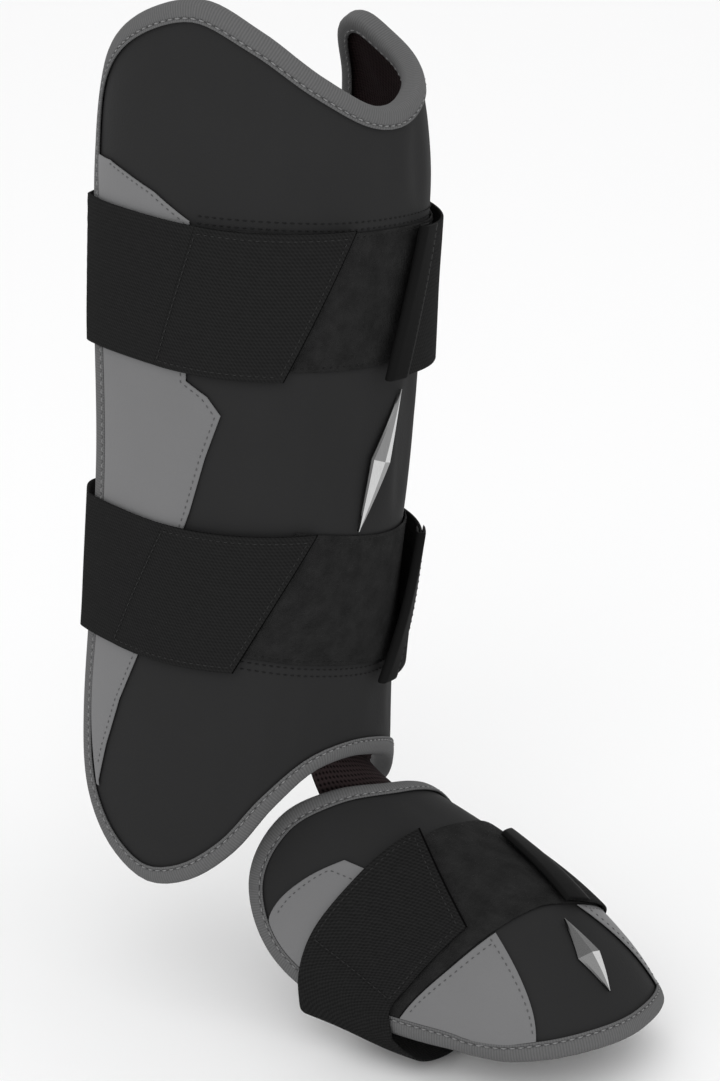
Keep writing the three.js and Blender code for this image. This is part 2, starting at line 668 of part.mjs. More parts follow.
// Ornament on the front, midway between the straps and a little aslant
const badgeMiddle = { turn: 3, along: (upperStrapHeight + lowerStrapHeight) / 2 - ankleClearance - 4 };
const badgeSlant = 9;
add('shin_badge', lozenge(
  shin,
  { turn: badgeMiddle.turn - badgeSlant, along: badgeMiddle.along - badgeLength / 2 },
  { turn: badgeMiddle.turn + badgeSlant, along: badgeMiddle.along + badgeLength / 2 },
), brightMetal);

// Foot guard and its edge tape
const footSpans = { turn: (Math.PI * footWidth) / 360, along: footLength };
const footFill = fillOutline(footOutline, footCorners, footSpans, 16, 14);
const footEdgePoints = footFill.edge.map((place) => foot.point(place));
const footDepthAt = (place) => padDepth(foot, footEdgePoints, place);
add('foot_pad', layer(foot, footFill.places, () => 0, (place) => -footDepthAt(place)), blackLeather);
add('foot_binding', edgeTape(foot, footFill.edge, padEdge), greyTape);

// The field under the foot strap and the grey overlays beside it. They end against the edge tape.
const besideInner = besideTape(foot, footFill.edge, footFill.left.slice(0, -1)).reverse();
const besideOuter = besideTape(foot, footFill.edge, footFill.right.slice(0, -1));
const besideToes = besideTape(foot, footFill.edge, footFill.bottom.slice(0, -1)).reverse();
const innerSideTurn = (along) => readTable(besideInner, 'along', 'turn', along);
const outerSideTurn = (along) => readTable(besideOuter, 'along', 'turn', along);
const loopEdge = edges(footLoopRows);
const loopPlaces = bandPlaces(
  (across) => innerSideTurn(loopEdge(footLoopRows[0].turn, across)),
  (across) => outerSideTurn(loopEdge(footLoopRows.at(-1).turn, across)),
  loopEdge,
  14,
  3,
);
add('foot_loop_field', layer(foot, loopPlaces, ...lying(layGap, loopThickness)), loopPile);
const seam = (2 * gap) / footLength;

function addToePanel(name, ridge, sideTurn, toeEnd) {
  const cells = 6;
  const shares = Array.from({ length: cells + 1 }, (_, i) => i / cells);
  const rearAlong = (turn) => readTable(footLoopRows, 'turn', 'front', turn) + seam;
  const frontAlong = (turn) => readTable(besideToes, 'turn', 'along', turn);
  const rearTurn = sideTurn(rearAlong(toeEnd.turn));
  const ridgeEnds = [rearAlong(ridge.low), frontAlong(ridge.high)];
  const rearEdge = shares.map((share) => mix(ridge.low, rearTurn, share))
    .map((turn) => ({ turn, along: rearAlong(turn) }));
  const frontEdge = shares.map((share) => mix(ridge.high, toeEnd.turn, share))
    .map((turn) => ({ turn, along: frontAlong(turn) }));
  const ridgeEdge = shares.map((share) => (
    { turn: mix(ridge.low, ridge.high, share), along: mix(...ridgeEnds, share) }
  ));
  const sideEdge = shares.map((share) => mix(rearEdge.at(-1).along, frontEdge.at(-1).along, share))
    .map((along) => ({ turn: sideTurn(along), along }));
  sideEdge[0] = rearEdge.at(-1);
  sideEdge[cells] = frontEdge.at(-1);
  const places = fillBetween(rearEdge, sideEdge, frontEdge, ridgeEdge, shares, shares);
  add(name, layer(foot, places, ...lying(layGap, panelThickness)), greyLeather);
}
addToePanel('foot_toe_panel', innerRidge, innerSideTurn, besideToes[0]);
addToePanel('foot_outer_panel', outerRidge, outerSideTurn, besideToes.at(-1));
const besideHeel = besideInner.filter((place) => place.along < footLoopRows[0].rear).reverse();
const behindTape = (turn) => readTable(besideHeel, 'turn', 'along', turn);
const rearPanelEdges = (turn, across) => {
  const rear = Math.max(readTable(rearPanelRows, 'turn', 'rear', turn), behindTape(turn));
  const front = readTable(footLoopRows, 'turn', 'rear', turn) - seam;
  return mix(rear, front, across);
};
const rearPanelEnds = [rearPanelRows[0].turn, rearPanelRows.at(-1).turn];
const rearPanelPlaces = bandPlaces(() => rearPanelEnds[0], () => rearPanelEnds[1], rearPanelEdges, 7, 3);
add('foot_rear_panel', layer(foot, rearPanelPlaces, ...lying(layGap, panelThickness)), greyLeather);

// Foot strap: its tab, the band under the sole and the strip on its outer end
const footInner = ({ turn }) => overTape + footStandOff * readTable(footStrapRows, 'turn', 'lift', turn);
const footOuter = (place) => footInner(place) + strapThickness;
const footSeamGap = (2 * gap) / footSpans.turn;
const footTab = bandPlaces(slant(footTabEnd), slant(footTabSeam, footSeamGap), edges(footStrapRows), 6, 3);
add('foot_strap_tab', layer(foot, footTab, ...lying(overTape, tabThickness)), elastic);
const footBand = bandPlaces(slant(footTabSeam), slant(footStrapEnd), edges(footStrapRows), 34, 3);
add('foot_strap', layer(foot, footBand, footOuter, footInner), elastic);
const footStripTurn = pullStripWidth / footSpans.turn;
const footStripEnd = slant(footStrapEnd, footStripTurn);
const footStrip = bandPlaces(slant(footStrapEnd), footStripEnd, edges(footStrapRows), 1, 3);
const footStripInner = (place) => footOuter(place) + gap;
add('foot_pull_strip', layer(foot, footStrip, (place) => footStripInner(place) + pullStripThickness,
  footStripInner), smoothTape);

// Ornament on the toe end
const footBadgeMiddle = { turn: -7, along: 0.757 };
const footBadgeSlant = 4;
const footBadgeSpan = 0.0047 * footBadgeLength;
add('foot_badge', lozenge(
  foot,
  { turn: footBadgeMiddle.turn - footBadgeSlant, along: footBadgeMiddle.along + footBadgeSpan / 2 },
  { turn: footBadgeMiddle.turn + footBadgeSlant, along: footBadgeMiddle.along - footBadgeSpan / 2 },
), brightMetal);

// Ankle link: a tongue from behind the shin shell's arch to behind the foot guard's rear rim
const linkLanes = 5;
const linkCells = 10;
const underTape = padEdge + tapeThickness + layGap + 2 * gap;
const underRim = underTape + 5 * gap;
const tapeShare = 0.5;
const archRows = shinOutline.slice(20, 25);
const linkMiddles = { shin: 2, foot: 8 };
const outerLink = [];
for (let i = 0; i <= linkLanes; i += 1) {
  const sideways = (i / linkLanes - 0.5) * linkWidth;
  const turn = linkMiddles.shin + sideways / shinSpans.turn;
  const footTurn = linkMiddles.foot + sideways / footSpans.turn;
  const arch = readTable(archRows, 'turn', 'height', turn) * shinLength;
  const rim = readTable(footOutline.slice(0, 8), 'turn', 'along', footTurn);
  const shinRoute = [1, tapeShare, 0].map((share) => {
    const place = { turn, along: arch + share * linkTuck };
    const depth = [underRim, underTape, shinDepthAt(place) + 2 * gap][Math.round(2 * share)];
    return raised(shin, place, -depth - layGap - liningThickness - gap);
  });
  const footRoute = [0, tapeShare, 1].map((share) => {
    const place = { turn: footTurn, along: rim + (share * linkTuck) / footLength };
    const depth = [underRim, underTape, footDepthAt(place) + layGap + gap][Math.round(2 * share)];
    return raised(foot, place, -depth);
  });
  const route = new THREE.CatmullRomCurve3([...shinRoute, ...footRoute]);
  outerLink.push(route.getPoints(linkCells));
}
function behind(grid, distance) {
  return grid.map((lane, i) => lane.map((point, j) => {
    const onward = lane[Math.min(j + 1, linkCells)].clone().sub(lane[Math.max(j - 1, 0)]);
    const sideways = grid[Math.min(i + 1, linkLanes)][j].clone().sub(grid[Math.max(i - 1, 0)][j]);
    return point.clone().addScaledVector(sideways.cross(onward).normalize(), distance);
  }));
}
add('ankle_link', sheetBetween(outerLink, behind(outerLink, linkThickness)), darkMesh);

export default guard;
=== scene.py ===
import math

import bpy
import numpy as np
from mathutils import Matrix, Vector


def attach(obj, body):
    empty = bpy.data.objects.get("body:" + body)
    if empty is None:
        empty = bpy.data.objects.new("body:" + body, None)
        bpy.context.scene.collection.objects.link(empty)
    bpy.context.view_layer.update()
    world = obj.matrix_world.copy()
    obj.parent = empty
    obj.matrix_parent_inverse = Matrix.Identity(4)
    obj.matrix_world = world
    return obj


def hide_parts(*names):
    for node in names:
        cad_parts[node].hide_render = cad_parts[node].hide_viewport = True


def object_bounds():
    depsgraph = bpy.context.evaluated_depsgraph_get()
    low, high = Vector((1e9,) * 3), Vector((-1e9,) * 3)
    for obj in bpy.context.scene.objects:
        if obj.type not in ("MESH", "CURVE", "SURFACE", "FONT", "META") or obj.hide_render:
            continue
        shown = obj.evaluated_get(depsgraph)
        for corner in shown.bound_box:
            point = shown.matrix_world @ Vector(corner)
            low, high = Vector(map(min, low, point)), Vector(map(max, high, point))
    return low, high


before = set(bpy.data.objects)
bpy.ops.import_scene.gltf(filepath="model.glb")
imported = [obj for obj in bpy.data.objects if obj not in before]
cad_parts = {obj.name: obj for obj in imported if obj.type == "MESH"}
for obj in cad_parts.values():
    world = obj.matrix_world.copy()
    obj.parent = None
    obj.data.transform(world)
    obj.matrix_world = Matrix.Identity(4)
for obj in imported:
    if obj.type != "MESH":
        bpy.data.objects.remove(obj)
solid_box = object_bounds()


# View, floor and light
# The camera looks down on the guard's inner side through a long lens. The guard stands on a pale
# seamless table under a wide, soft studio dome, with one large softbox high on the left that lifts
# the front of the shell a little over its sides.

scene = bpy.context.scene
scene.view_settings.view_transform = "Standard"

looked_at = Vector((0.034, -0.040, -0.057))
from_side, from_above, distance = math.radians(-48), math.radians(20), 1.290
camera = bpy.data.objects.new("camera", bpy.data.cameras.new("camera"))
scene.collection.objects.link(camera)
camera.data.lens = 99.6
camera.location = looked_at + distance * Vector((
    math.cos(from_above) * math.sin(from_side),
    -math.cos(from_above) * math.cos(from_side),
    math.sin(from_above),
))
camera.rotation_euler = (looked_at - camera.location).to_track_quat("-Z", "Y").to_euler()
scene.camera = camera


def new_material(name, roughness, specular):
    """A material with its shader and the values that are the same all over it."""
    material = bpy.data.materials.new(name)
    material.use_nodes = True
    shader = material.node_tree.nodes["Principled BSDF"]
    shader.inputs["Roughness"].default_value = roughness
    shader.inputs["Specular IOR Level"].default_value = specular
    shader.inputs["Specular Tint"].default_value = (0.35, 0.35, 0.35, 1)
    return material, material.node_tree, shader


def place(tree, kind, **values):
    """A node in a tree. A value named as one of its sockets goes there, any other is a setting."""
    made = tree.nodes.new(kind)
    for name, value in values.items():
        socket = made.inputs.get(name.replace("_", " "))
        if socket is None:
            setattr(made, name, value)
        else:
            socket.default_value = value
    return made


def between(tree, first, second, share):
    """A mix of two colours, each a colour or an output, by a share that changes over the surface."""
    mix = place(tree, "ShaderNodeMix", data_type="RGBA")
    for name, colour in (("A", first), ("B", second)):
        if isinstance(colour, tuple):
            mix.inputs[name].default_value = (*colour, 1)
        else:
            tree.links.new(colour, mix.inputs[name])
    tree.links.new(share, mix.inputs["Factor"])
    return mix.outputs["Result"]


table_material, tree, shader = new_material("pale table", 0.9, 0.1)
mottle = place(tree, "ShaderNodeTexNoise", Scale=6.0, Detail=3.0)
tree.links.new(between(tree, (0.93, 0.93, 0.932), (0.95, 0.95, 0.952), mottle.outputs["Fac"]),
               shader.inputs["Base Color"])

floor_mesh = bpy.data.meshes.new("floor")
floor_mesh.from_pydata([(-60, -60, 0), (60, -60, 0), (60, 60, 0), (-60, 60, 0)], [], [(0, 1, 2, 3)])
floor_mesh.materials.append(table_material)
floor = bpy.data.objects.new("floor", floor_mesh)
floor.location.z = solid_box[0][2] - 0.0006
scene.collection.objects.link(floor)

world = bpy.data.worlds.new("studio")
world.use_nodes = True
world.node_tree.nodes["Background"].inputs["Color"].default_value = (1, 1, 1, 1)
world.node_tree.nodes["Background"].inputs["Strength"].default_value = 1.0
scene.world = world

softbox = bpy.data.objects.new("softbox_left", bpy.data.lights.new("softbox_left", "AREA"))
softbox.data.size, softbox.data.energy = 1.6, 12
softbox.location = Vector((-1.7, -1.1, 1.5))
softbox.rotation_euler = (looked_at - softbox.location).to_track_quat("-Z", "Y").to_euler()
scene.collection.objects.link(softbox)


# Shin pad
# The long shell over the shin: foam under a skin of black synthetic leather, cut with a knee hump,
# a dip, an outer wing and an ankle arch. The skin is stretched over the foam and sewn down along the
# edge, under the loop fields and along two double rows of stitching.

seat_height = 240
ankle_clearance = 49
shin_length, shin_width, shin_depth, shin_lean = 378, 132, 134, 24
pad_thickness, pad_edge, pad_ramp = 7, 4, 22
gap, lay_gap = 0.3, 0.55
tape_width, tape_thickness = 6.5, 1

# height, medial, lateral, front, back, forward
shin_sections = [
    (-0.02, 0.53, 0.455, 0.49, 0.51, 0), (0.09, 0.53, 0.465, 0.495, 0.51, 0),
    (0.19, 0.515, 0.452, 0.502, 0.49, 0.04), (0.325, 0.5, 0.447, 0.515, 0.49, 0.125),
    (0.485, 0.492, 0.477, 0.522, 0.49, 0.33), (0.655, 0.5, 0.492, 0.515, 0.49, 0.54),
    (0.815, 0.5, 0.485, 0.507, 0.448, 0.75), (0.88, 0.5, 0.42, 0.5, 0.425, 0.83),
    (0.947, 0.5, 0.305, 0.478, 0.385, 0.92), (1.013, 0.485, 0.235, 0.448, 0.345, 1),
]
# turn about the leg, height
shin_outline = [
    (-126, 0.89), (-114, 0.942), (-94, 0.983), (-72, 0.998), (-50, 0.968), (-28, 0.92), (-8, 0.885),
    (5, 0.88), (22, 0.898), (45, 0.931), (65, 0.954), (82, 0.94), (95, 0.86), (104, 0.68),
    (107, 0.42), (106, 0.2), (99, 0.085), (84, 0.025), (68, 0.022), (52, 0.046), (34, 0.096),
    (12, 0.131), (-5, 0.144), (-20, 0.139), (-35, 0.105), (-50, 0.051), (-66, 0.0146), (-82, 0.003),
    (-98, 0.027), (-110, 0.079), (-116, 0.17), (-114, 0.32), (-114, 0.47), (-116, 0.62),
    (-119.5, 0.74), (-125.5, 0.82),
]
shin_corners = (0, 11, 16, 29)


def read_table(rows, column, at):
    """The smooth curve through the rows of a table, at one or many places of its first column."""
    rows = np.asarray(rows, float)
    if rows[0, 0] > rows[-1, 0]:
        rows = rows[::-1]
    x, y = rows[:, 0], rows[:, column]
    step = np.diff(x)
    rise = np.diff(y) / step
    inner = (rise[1:] * step[:-1] + rise[:-1] * step[1:]) / (step[1:] + step[:-1])
    slope = np.concatenate([rise[:1], inner, rise[-1:]])
    at = np.asarray(at, float)
    i = np.clip(np.searchsorted(x, at) - 1, 0, len(x) - 2)
    t = (at - x[i]) / step[i]
    c = np.clip(t, 0, 1)
    value = (
        (2 * c**3 - 3 * c**2 + 1) * y[i] + (c**3 - 2 * c**2 + c) * step[i] * slope[i]
        + (3 * c**2 - 2 * c**3) * y[i + 1] + (c**3 - c**2) * step[i] * slope[i + 1]
    )
    return value + (t - c) * step[i] * np.where(t < 0, slope[i], slope[i + 1])


def section_radius(side, ahead, half_width, half_depth, power):
    return ((np.abs(side) / half_width) ** power + (np.abs(ahead) / half_depth) ** power) ** (-1 / power)


def unit(vectors):
    return vectors / np.linalg.norm(vectors, axis=-1, keepdims=True)


class Face:
    """A curved face that pieces are laid on. Turn goes round it in degrees, along goes down its length."""

    def __init__(self, point, facing, turn_step, along_step):
        self.point, self.facing = point, facing
        self.turn_step, self.along_step = turn_step, along_step

    def directions(self, turn, along):
        by_turn = self.point(turn + self.turn_step, along) - self.point(turn - self.turn_step, along)
        by_along = self.point(turn, along + self.along_step) - self.point(turn, along - self.along_step)
        return by_turn / (2 * self.turn_step), by_along / (2 * self.along_step)

    def normal(self, turn, along):
        return unit(self.facing * np.cross(*self.directions(turn, along)))

    def over(self, turn, along, height):
        """Points at a height over the face, in mm."""
        height = np.broadcast_to(height, np.shape(turn))[..., None]
        return self.point(turn, along) + self.normal(turn, along) * height

    def slide(self, turn, along, direction, length):
        """The places reached by going a length over the face in a direction."""
        for _ in range(6):
            by_turn, by_along = self.directions(turn, along)
            up = unit(np.cross(by_turn, by_along))
            stride = direction - up * (direction * up).sum(-1, keepdims=True)
            stride = unit(stride) * length / 6
            a, b, c = (by_turn**2).sum(-1), (by_turn * by_along).sum(-1), (by_along**2).sum(-1)
            p, q = (by_turn * stride).sum(-1), (by_along * stride).sum(-1)
            turn = turn + (p * c - q * b) / (a * c - b * b)
            along = along + (q * a - p * b) / (a * c - b * b)
        return turn, along


def shin_point(turn, along):
    share = along / shin_length
    side, ahead = np.sin(np.radians(turn)), np.cos(np.radians(turn))
    half_width = shin_width * np.where(
        side < 0, read_table(shin_sections, 1, share), read_table(shin_sections, 2, share))
    half_depth = shin_depth * np.where(
        ahead < 0, read_table(shin_sections, 4, share), read_table(shin_sections, 3, share))
    radius = section_radius(side, ahead, half_width, half_depth, np.where(ahead < 0, 2.5, 2.15))
    forward = shin_lean * read_table(shin_sections, 5, share)
    return np.stack([radius * side, -forward - radius * ahead, ankle_clearance + along], -1)


shin = Face(shin_point, 1, 0.5, 0.5)


def knotted(points, per_row, closed=True):
    """A smooth curve through points, as many fine points."""
    points = np.asarray(points, float)
    if not closed:
        points = np.vstack([2 * points[0] - points[1], points, 2 * points[-1] - points[-2]])
    before, here, after, beyond = (np.roll(points, shift, 0) for shift in (1, 0, -1, -2))
    if not closed:
        before, here, after, beyond = (p[1:-2] for p in (before, here, after, beyond))
    t0, t1, t2 = (
        np.sqrt(np.linalg.norm(b - a, axis=-1))[:, None, None]
        for a, b in ((before, here), (here, after), (after, beyond))
    )
    before, here, after, beyond = (p[:, None] for p in (before, here, after, beyond))
    leave = ((here - before) / t0 - (after - before) / (t0 + t1) + (after - here) / t1) * t1
    reach = ((after - here) / t1 - (beyond - here) / (t1 + t2) + (beyond - after) / t2) * t1
    t = np.linspace(0, 1, per_row, endpoint=False)[None, :, None]
    fine = (
        (2 * t**3 - 3 * t**2 + 1) * here + (t**3 - 2 * t**2 + t) * leave
        + (3 * t**2 - 2 * t**3) * after + (t**3 - t**2) * reach
    ).reshape(-1, points.shape[1])
    return fine if closed else np.vstack([fine, points[-2]])


def length_along(points):
    steps = np.linalg.norm(np.diff(points, axis=0), axis=-1)
    return np.concatenate([[0], np.cumsum(steps)])


def cut_evenly(points, shares):
    """Points of a line at shares of its length."""
    lengths = length_along(points)
    return np.stack([np.interp(np.asarray(shares) * lengths[-1], lengths, c) for c in points.T], -1)


def fill_between(rear, right, front, left, across, down):
    """A grid of places between four edges that meet at their ends."""
    s, t = across[None, :, None], down[:, None, None]
    ends = (
        (rear[0] * (1 - s) + rear[-1] * s) * (1 - t) + (left[-1] * (1 - s) + right[-1] * s) * t
    )
    return rear * (1 - t) + front * t + left[:, None] * (1 - s) + right[:, None] * s - ends


def fill_outline(outline, corners, spans, across, down):
    """The places inside a closed outline as a grid, and its four edges in order."""
    per_row = 24
    curve = knotted(np.asarray(outline) * spans, per_row)
    total = len(curve)
    sides = []
    for k in range(4):
        first, last = corners[k] * per_row, corners[(k + 1) % 4] * per_row
        count = (last - first) % total
        stretch = curve[(first + np.arange(count + 1)) % total]
        sides.append(cut_evenly(stretch, across if k % 2 == 0 else down) / spans)
    top, right, bottom, left = sides
    grid = fill_between(top, right, bottom[::-1], left[::-1], across, down)
    return grid, (top, right, bottom, left)


def ring_of(sides):
    return np.vstack([side[:-1] for side in sides])


def pad_depth(face, edge_points, turn, along):
    """Thickness of a pad: thin under its edge tape, full away from it."""
    here = face.point(turn, along)
    near = np.full(turn.shape, 1e9)
    for start in range(0, len(edge_points), 40):
        some = edge_points[start:start + 40]
        near = np.minimum(near, np.linalg.norm(here[..., None, :] - some, axis=-1).min(-1))
    x = np.clip((near - tape_width - gap) / pad_ramp, 0, 1)
    return pad_edge + (pad_thickness - pad_edge) * x * x * (3 - 2 * x), near


def grid_quads(rows, columns):
    i = np.arange(rows - 1)[:, None] * columns + np.arange(columns - 1)
    return np.stack([i, i + 1, i + columns + 1, i + columns], -1).reshape(-1, 4)


def close_sheet(outer, inner):
    """Points and faces of the closed body between two grids of points."""
    rows, columns = outer.shape[:2]
    points = np.vstack([outer.reshape(-1, 3), inner.reshape(-1, 3)])
    index = np.arange(rows * columns).reshape(rows, columns)
    rim = np.concatenate([index[0], index[1:, -1], index[-1, -2::-1], index[-2:0:-1, 0]])
    onward = np.roll(rim, -1)
    below = rows * columns
    quads = grid_quads(rows, columns)
    sides = np.stack([rim, rim + below, onward + below, onward], -1)
    return points, np.vstack([quads, quads[:, ::-1] + below, sides])


def make_piece(name, points, faces, materials, slot, nodes=(), uv=None, sharp=None, shows=None):
    """A mesh piece from points in mm. Its faces are turned out, and it moves with the guard.
    Shows gives the number of the material that each face shows."""
    a, b, c = (points[faces[:, k]] for k in range(3))
    if np.einsum("ij,ij->", a - points.mean(0), np.cross(b - points.mean(0), c - points.mean(0))) < 0:
        faces = faces[:, ::-1]
    mesh = bpy.data.meshes.new(name)
    mesh.from_pydata(((points - (0, 0, seat_height)) * 0.001).tolist(), [], faces.tolist())
    if uv is not None:
        corner = np.zeros(len(mesh.loops), np.int32)
        mesh.loops.foreach_get("vertex_index", corner)
        mesh.uv_layers.new(name="cloth").data.foreach_set("uv", (uv[corner] * 0.001).ravel())
    mesh.polygons.foreach_set("use_smooth", [True] * len(mesh.polygons))
    if sharp:
        mesh.set_sharp_from_angle(angle=math.radians(sharp))
    for material in materials:
        mesh.materials.append(material)
    if shows is not None:
        mesh.polygons.foreach_set("material_index", np.ravel(shows).astype(int).tolist())
    piece = bpy.data.objects.new(name, mesh)
    scene.collection.objects.link(piece)
    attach(piece, "root")
    if nodes:
        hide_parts(*nodes)
    return piece


def start_group(name, inputs, outputs):
    """A shader node group with named inputs and outputs. An input without a value is a place."""
    group = bpy.data.node_groups.new(name, "ShaderNodeTree")
    for label, value in inputs.items():
        kind = "NodeSocketVector" if value is None else "NodeSocketFloat"
        socket = group.interface.new_socket(label, in_out="INPUT", socket_type=kind)
        if value is not None:
            socket.default_value = value
    for label in outputs:
        group.interface.new_socket(label, in_out="OUTPUT", socket_type="NodeSocketFloat")
    return group, group.nodes.new("NodeGroupInput"), group.nodes.new("NodeGroupOutput")


def reckon(tree, operation, first, second=0.0):
    """A Math node on two numbers or outputs."""
    made = tree.nodes.new("ShaderNodeMath")
    made.operation = operation
    for socket, value in zip(made.inputs, (first, second)):
        if isinstance(value, (int, float)):
            socket.default_value = value
        else:
            tree.links.new(value, socket)
    return made.outputs[0]


# Fine pebbled grain with shallow creases between the pebbles, and a slow change of tone.
leather_grain, given, result = start_group(
    "leather grain", {"Pebbles per m": 900.0, "Tone size": 14.0}, ["Height", "Tone"])
where = leather_grain.nodes.new("ShaderNodeTexCoord").outputs["Object"]
pebbles = place(leather_grain, "ShaderNodeTexVoronoi", feature="F1")
creases = place(leather_grain, "ShaderNodeTexNoise", Detail=4.0, Roughness=0.6)
tones = place(leather_grain, "ShaderNodeTexNoise", Detail=3.0)
for texture in (pebbles, creases, tones):
    leather_grain.links.new(where, texture.inputs["Vector"])
leather_grain.links.new(given.outputs["Pebbles per m"], pebbles.inputs["Scale"])
half_scale = reckon(leather_grain, "MULTIPLY", given.outputs["Pebbles per m"], 0.35)
leather_grain.links.new(half_scale, creases.inputs["Scale"])
leather_grain.links.new(given.outputs["Tone size"], tones.inputs["Scale"])
domes = reckon(leather_grain, "SUBTRACT", 1.0, pebbles.outputs["Distance"])
height = reckon(leather_grain, "ADD", domes, reckon(leather_grain, "MULTIPLY", creases.outputs["Fac"], 0.8))
leather_grain.links.new(height, result.inputs["Height"])
leather_grain.links.new(tones.outputs["Fac"], result.inputs["Tone"])


def add_relief(tree, shader, height, strength, distance):
    bump = place(tree, "ShaderNodeBump", Strength=strength, Distance=distance)
    tree.links.new(height, bump.inputs["Height"])
    tree.links.new(bump.outputs["Normal"], shader.inputs["Normal"])


def leather(name, dark, light, roughness, specular):
    material, tree, shader = new_material(name, roughness, specular)
    grain = place(tree, "ShaderNodeGroup", node_tree=leather_grain)
    tree.links.new(between(tree, dark, light, grain.outputs["Tone"]), shader.inputs["Base Color"])
    rough = reckon(tree, "ADD", reckon(tree, "MULTIPLY", grain.outputs["Tone"], 0.12), roughness - 0.06)
    tree.links.new(rough, shader.inputs["Roughness"])
    add_relief(tree, shader, grain.outputs["Height"], 0.35, 0.00012)
    return material


black_leather = leather("black leather", (0.0220, 0.0220, 0.0223), (0.0268, 0.0268, 0.0271), 0.6, 0.025)

shin_spans = np.array([math.pi * shin_width / 360, 1])
shin_edge_rows = np.asarray(shin_outline) * (1, shin_length)
shin_grid, shin_sides = fill_outline(
    shin_edge_rows, shin_corners, shin_spans, np.linspace(0, 1, 66), np.linspace(0, 1, 104))
shin_edge = shin.point(*ring_of(shin_sides).T)
shin_turn, shin_along = shin_grid[..., 0], shin_grid[..., 1]
shin_deep, from_edge = pad_depth(shin, shin_edge, shin_turn, shin_along)

# Straps cross the shell at these heights over the sole; their lines rise and fall round the leg.
strap_width = 61
upper_strap_height, lower_strap_height = 305, 174
upper_loop_width, lower_loop_width, lower_loop_rise = 57, 59, 6
loop_medial, loop_lateral = -62, 46
# turn, drop as a share of the strap's width
upper_line = [
    (-115, -0.12), (-87, -0.09), (-45, -0.06), (-15, -0.01), (10, 0.03), (42, 0.09), (100, 0.07),
    (180, 0), (245, -0.12), (315, -0.06),
]
lower_line = [
    (-115, -0.17), (-75, -0.14), (-49, -0.1), (-23, 0.01), (10, 0.15), (45, 0.2), (100, 0.18),
    (180, 0.04), (245, -0.17), (285, -0.14),
]


def shin_band(line, height, width, shift=0.0):
    """Where a band round the shin runs: along for a turn and a share across the band."""
    def along(turn, across):
        drop = read_table(line, 1, turn) * strap_width
        return height - ankle_clearance - drop + shift + (across - 0.5) * width
    return along


upper_field = shin_band(upper_line, upper_strap_height, upper_loop_width,
                        (strap_width - upper_loop_width) / 2)
lower_field = shin_band(lower_line, lower_strap_height, lower_loop_width,
                        (strap_width - lower_loop_width) / 2 + lower_loop_rise)

# Rows of stitching through the shell: the turn where each starts and ends, and its distance
# above the upper field or below the lower one
upper_rows = [(-69, 52, 1.1), (-69, 52, 4.0)]
lower_rows = [(-50, 50, -2.2), (-50, 50, -5.4)]


def blow_up(points, held, cap):
    """The skin as pressure from the foam leaves it: simulated cloth, held where it is sewn down.
    No point moves further than the cap, in mm."""
    mesh = bpy.data.meshes.new("skin")
    rows, columns = points.shape[:2]
    start = (points.reshape(-1, 3) * 0.001).astype(np.float32)
    mesh.from_pydata(start.tolist(), [], grid_quads(rows, columns).tolist())
    skin = bpy.data.objects.new("skin", mesh)
    scene.collection.objects.link(skin)
    skin.vertex_groups.new(name="sewn").add(np.flatnonzero(held.ravel()).tolist(), 1.0, "REPLACE")
    cloth = skin.modifiers.new("cloth", "CLOTH")
    cloth.settings.vertex_group_mass = "sewn"
    cloth.settings.quality = 4
    cloth.settings.mass = 0.25
    cloth.settings.tension_stiffness = 12
    cloth.settings.compression_stiffness = 12
    cloth.settings.bending_stiffness = 0.4
    cloth.settings.use_pressure = True
    cloth.settings.uniform_pressure_force = 4.0
    cloth.settings.effector_weights.gravity = 0
    cloth.collision_settings.use_collision = False
    last_frame = 20
    scene.frame_start, scene.frame_end = 1, last_frame
    for number in range(1, last_frame + 1):
        scene.frame_set(number)
    settled = skin.evaluated_get(bpy.context.evaluated_depsgraph_get())
    moved = np.zeros(rows * columns * 3, np.float32)
    settled.to_mesh().vertices.foreach_get("co", moved)
    settled.to_mesh_clear()
    bpy.data.objects.remove(skin)
    bpy.data.meshes.remove(mesh)
    scene.frame_set(1)
    shift = (moved.reshape(points.shape) * 1000.0) - points
    far = np.linalg.norm(shift, axis=-1, keepdims=True)
    return points + shift * np.minimum(1, cap / np.maximum(far, 1e-6)) * (~held[..., None])


def sewn_by_rows(turn, along, field, rows, across):
    edge = field(turn, across)
    return np.any([
        (np.abs(along - edge - away) < 2.0) & (turn > start) & (turn < end) for start, end, away in rows
    ], axis=0)


upper_share = (shin_along - upper_field(shin_turn, 0.5)) / upper_loop_width + 0.5
lower_share = (shin_along - lower_field(shin_turn, 0.5)) / lower_loop_width + 0.5
under_field = ((np.abs(upper_share - 0.5) < 0.53) | (np.abs(lower_share - 0.5) < 0.53)) & (
    shin_turn > loop_medial - 3) & (shin_turn < loop_lateral + 3)
sewn_margin = 1.5
shin_sewn = (
    (from_edge < tape_width + sewn_margin) | under_field | (shin_turn < -55)
    | sewn_by_rows(shin_turn, shin_along, upper_field, upper_rows[1:], 1)
    | sewn_by_rows(shin_turn, shin_along, lower_field, lower_rows[1:], 0)
)


def make_pad(name, skin, back, materials, node, **settings):
    """A firm pad between its skin and its back."""
    points, faces = close_sheet(skin, back)
    pad = make_piece(name, points, faces, materials, "black_leather", [node], **settings)
    smooth = pad.modifiers.new("smooth", "SUBSURF")
    smooth.levels = smooth.render_levels = 1


shin_skin = blow_up(shin.point(shin_turn, shin_along), shin_sewn, 1.3)
make_pad("shin_pad_skin", shin_skin, shin.over(shin_turn, shin_along, -shin_deep), [black_leather],
         "shin_pad")


# Lining of the shin pad
# A soft warp-knit mesh, near black with a wine tint where the light goes through it. It is laid on
# the foam's inner side and caught under the edge tape all round.

lining_thickness = 1.5

